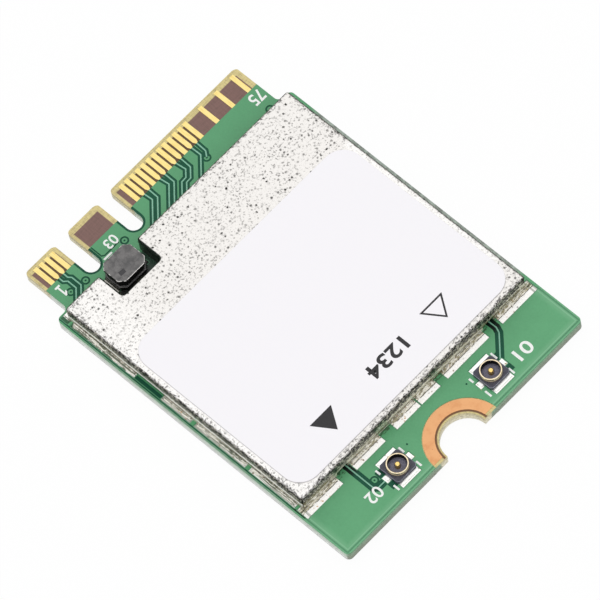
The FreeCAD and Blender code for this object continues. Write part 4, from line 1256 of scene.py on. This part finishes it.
# %% socket sizes
BOARD_TOP = COAT_TOP
BASE_HALF = 0.9
BASE_TOP = 1.08
BASE_CHAMFER = 0.16
RING_INNER, RING_SEAT, RING_OUTER = 0.65, 0.72, 0.75
RING_FOOT = 0.88
RING_TOP = 1.42
WELL_FLOOR = 1.0
PIN_RADIUS = 0.18
PIN_TOP = 1.38
TAB_TOP = 0.88
TAB_END = 1.14
GROUND_TAB_HALF = 0.75
SIGNAL_TAB_HALF = 0.18
TAB_EDGE = 0.025
SLACK = 0.01
SOCKET_X, SOCKET_Y = 4.375, -13.15


def tab(name, low, high):
    """A flat tab with a rounded upper rim."""
    obj = box(name, (*low, BOARD_TOP), (*high, TAB_TOP))
    round_rim(obj, TAB_TOP, TAB_EDGE, 2)
    return obj


print("socket base", 2 * BASE_HALF, "mm wide")

# %% socket shell and contact
ring_profile = [(RING_INNER, RING_FOOT), (RING_SEAT, RING_FOOT), (RING_SEAT, BASE_TOP),
                (RING_OUTER, BASE_TOP), (RING_OUTER, 1.19), (0.732, 1.21), (0.732, 1.26),
                (RING_OUTER, 1.28), (RING_OUTER, 1.375), (0.738, 1.408), (0.71, RING_TOP),
                (0.69, RING_TOP), (0.662, 1.408), (RING_INNER, 1.375), (RING_INNER, RING_FOOT)]
shell_parts = [lathe("ring", ring_profile, 64)]
for sign in (-1, 1):
    near, far = sorted((sign * RING_INNER, sign * TAB_END))
    shell_parts.append(tab("ground_tab", (-GROUND_TAB_HALF, near), (GROUND_TAB_HALF, far)))
shell_parts.append(tab("blind_tab", (-TAB_END, -SIGNAL_TAB_HALF), (-RING_INNER, SIGNAL_TAB_HALF)))
shell = join("socket_shell", shell_parts)

pin_profile = [(0, BOARD_TOP), (PIN_RADIUS, BOARD_TOP), (PIN_RADIUS, 1.29), (0.165, 1.335), (0.13, 1.365),
               (0.07, 1.377), (0, PIN_TOP)]
contact = join("socket_contact", [
    lathe("pin", pin_profile, 32),
    tab("signal_tab", (PIN_RADIUS, -SIGNAL_TAB_HALF), (TAB_END, SIGNAL_TAB_HALF))])


def on_tab(face):
    reach = max(abs(face.center.x), abs(face.center.y))
    return face.center.z < TAB_TOP + NEAR and reach > PIN_RADIUS + SLACK


def on_inner_ring(face):
    return TAB_TOP < face.center.z < RING_TOP - 2 * SLACK and face.center.xy.length < RING_INNER + SLACK


for piece in (shell, contact):
    tone_faces(piece, on_tab)
tone_faces(shell, on_inner_ring, 2)
print("shell faces", len(shell.data.polygons), "contact faces", len(contact.data.polygons))

# %% socket base
BASE_EDGE = 0.035
GROOVE_INNER, GROOVE_DEPTH = 0.53, 0.05
PIN_HOLE, PIN_HOLE_DEPTH = 0.23, 0.06
ABOVE = BASE_TOP + 0.2

base = box("socket_base", (-BASE_HALF, -BASE_HALF, BOARD_TOP), (BASE_HALF, BASE_HALF, BASE_TOP))
round_uprights(base, BASE_CHAMFER, 1)
round_rim(base, BASE_TOP, BASE_EDGE, 2)
well = circle(0, 0, RING_INNER, 64)
hollows = [plate("ring_seat", [circle(0, 0, RING_SEAT, 64), well], RING_FOOT, ABOVE),
           plate("well", [well], WELL_FLOOR, ABOVE),
           plate("well_groove", [well, circle(0, 0, GROOVE_INNER, 64)], WELL_FLOOR - GROOVE_DEPTH, ABOVE),
           plate("pin_hole", [circle(0, 0, PIN_HOLE, 32)], WELL_FLOOR - PIN_HOLE_DEPTH, ABOVE)]
for hollow_part in hollows:
    cut(base, hollow_part)
for low, high in (((-GROUND_TAB_HALF, -1), (GROUND_TAB_HALF, -RING_INNER)),
                  ((-GROUND_TAB_HALF, RING_INNER), (GROUND_TAB_HALF, 1)),
                  ((-1, -SIGNAL_TAB_HALF), (-RING_INNER, SIGNAL_TAB_HALF)),
                  ((0, -SIGNAL_TAB_HALF), (1, SIGNAL_TAB_HALF))):
    cut(base, box("tab_slot", (*low, BOARD_TOP - OVERCUT), (*high, TAB_TOP)))
print("socket base faces", len(base.data.polygons))


# %% tone the socket base
RIM_FROM = BASE_TOP - 0.05


def is_slanted(face):
    """True on the narrow faces that a rounded upper edge is made of."""
    return 0.1 < face.normal.z < 0.95


def in_well(face):
    return face.center.z < RIM_FROM and face.center.xy.length < RING_INNER - SLACK


# Painted highlight: the rounded top edge takes the paler rim finish.
tone_faces(base, lambda face: is_slanted(face) and face.center.z > RIM_FROM)
# Painted light: the well floor takes the lighter well finish.
tone_faces(base, in_well, 2)
print("socket base toned")

# %% place both sockets
for letter, side in (("a", 1), ("b", -1)):
    start = f"antenna_{letter}_"
    for piece, part, slot, coats in ((shell, "shell", "gold", [pale_gold, bright_pad, shaded_gold]),
                                     (contact, "contact", "gold", [gold_pin, bright_pad]),
                                     (base, "housing", "socket_plastic",
                                      [socket_moulding, socket_rim_highlight, socket_well_lit])):
        twin = place_copy(piece, f"socket_{letter}_{part}", side * SOCKET_X, SOCKET_Y, side < 0)
        finish(twin, coats, [start + part], smooth=35)
for piece in (shell, contact, base):
    bpy.data.objects.remove(piece)

# %% [markdown]
# ## Inductor
# A power inductor is a ferrite drum with a coil round its post, filled with black resin. Ferrite is
# brittle, so its rim is chipped: the bevelled edge of the drum takes finishes with pale chips. The front
# bevel is mostly pale, partly chips and partly a painted highlight, and the drum's sides are black, partly
# resin smear and partly painted shade. A dark mark is inked on top.

# %% inductor
DRUM_EDGE = 0.035
DRUM_RIM_FROM = 1.9
RESIN_EDGE = 0.04
FEET_EDGE = 0.014
drum = softened("inductor_core", "inductor_drum", DRUM_EDGE)
tone_faces(drum, lambda face: face.center.z > DRUM_RIM_FROM and is_slanted(face))
# The front bevel takes the mostly pale rim finish: partly chips and partly a painted highlight.
tone_faces(drum, lambda face: face.material_index == 1 and face.normal.y < -0.2, 2)
finish(drum, [ferrite_grey, ferrite_chips, ferrite_highlit_rim], ["inductor_core"], smooth=35)
soft_piece("inductor_resin", "inductor_filling", black_resin, RESIN_EDGE, 3)
soft_piece("inductor_terminals", "inductor_feet", dark_tin, FEET_EDGE)

MARK = [(-6.34, 9.44), (-5.88, 9.42), (-5.84, 9.74), (-6.3, 9.78)]
MARK_SUNK, MARK_PROUD = 0.004, 0.002
drum_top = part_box("inductor_core")[1].z / MM
mark = plate("inductor_mark", [MARK], drum_top - MARK_SUNK, drum_top + MARK_PROUD)
finish(mark, [ferrite_mark], smooth=20)

# %% [markdown]
# ## Back of the board
# The back is out of sight in the photograph. It has the same coat, a copper border and rows of small vias
# that tie the copper of both faces together, as such boards have along their edges.

# %% back coat
BACK_FLOOR = 0.018
VIA_ROW_X = 10.35
VIA_PITCH = 1.6
VIA_ROW_COUNT = 15
VIA_ROW_START = -13.2
BACK_BORDER_END = 2.95
BACK_RING, BACK_DISC, BACK_DIMPLE = 0.26, 0.2, 0.09


def sunk_in_back(name, outlines):
    return plate(name, outlines, -OVERCUT, BACK_FLOOR)


back_cutters = [sunk_in_back("back_border", [ribbon(path, BORDER_WIDTH)])
                for path in edge_borders(BORDER_HEAD, BACK_BORDER_END)]
for side in (-1, 1):
    for index in range(VIA_ROW_COUNT):
        x, y = side * VIA_ROW_X, VIA_ROW_START + index * VIA_PITCH
        ring = [circle(x, y, BACK_RING, 16), circle(x, y, BACK_DISC, 16)]
        back_cutters.append(sunk_in_back("back_ring", ring))
        back_cutters.append(sunk_in_back("back_dimple", [circle(x, y, BACK_DIMPLE, 12)]))
back_coat = copy_of("solder_mask_bottom", "green_coat_bottom")
cut(back_coat, join("back_cutters", back_cutters))
tone_faces(back_coat, lambda face: NEAR < face.center.z < BACK_FLOOR + NEAR)
finish(back_coat, [over_copper, over_laminate], ["solder_mask_bottom"], smooth=20)

# %% [markdown]
# ## Parts inside the shield
# The shield hides these, and they stay as the CAD nodes. They still get the finishes of their real
# materials, so that the part looks right with the shield taken off.

# %% inside
dress(chip_case, "radio_chip", "memory_chip", "regulator_chip", "front_end_module_a", "front_end_module_b")
dress(white_ceramic, "diplexer_a", "diplexer_b", "crystal_base")
dress(tinned_pad, "radio_chip_leads", "crystal_lid", "capacitor_caps", "component_pads")
dress(tan_ceramic, "capacitor_bodies")
dress(coil_wire, "inductor_coil")
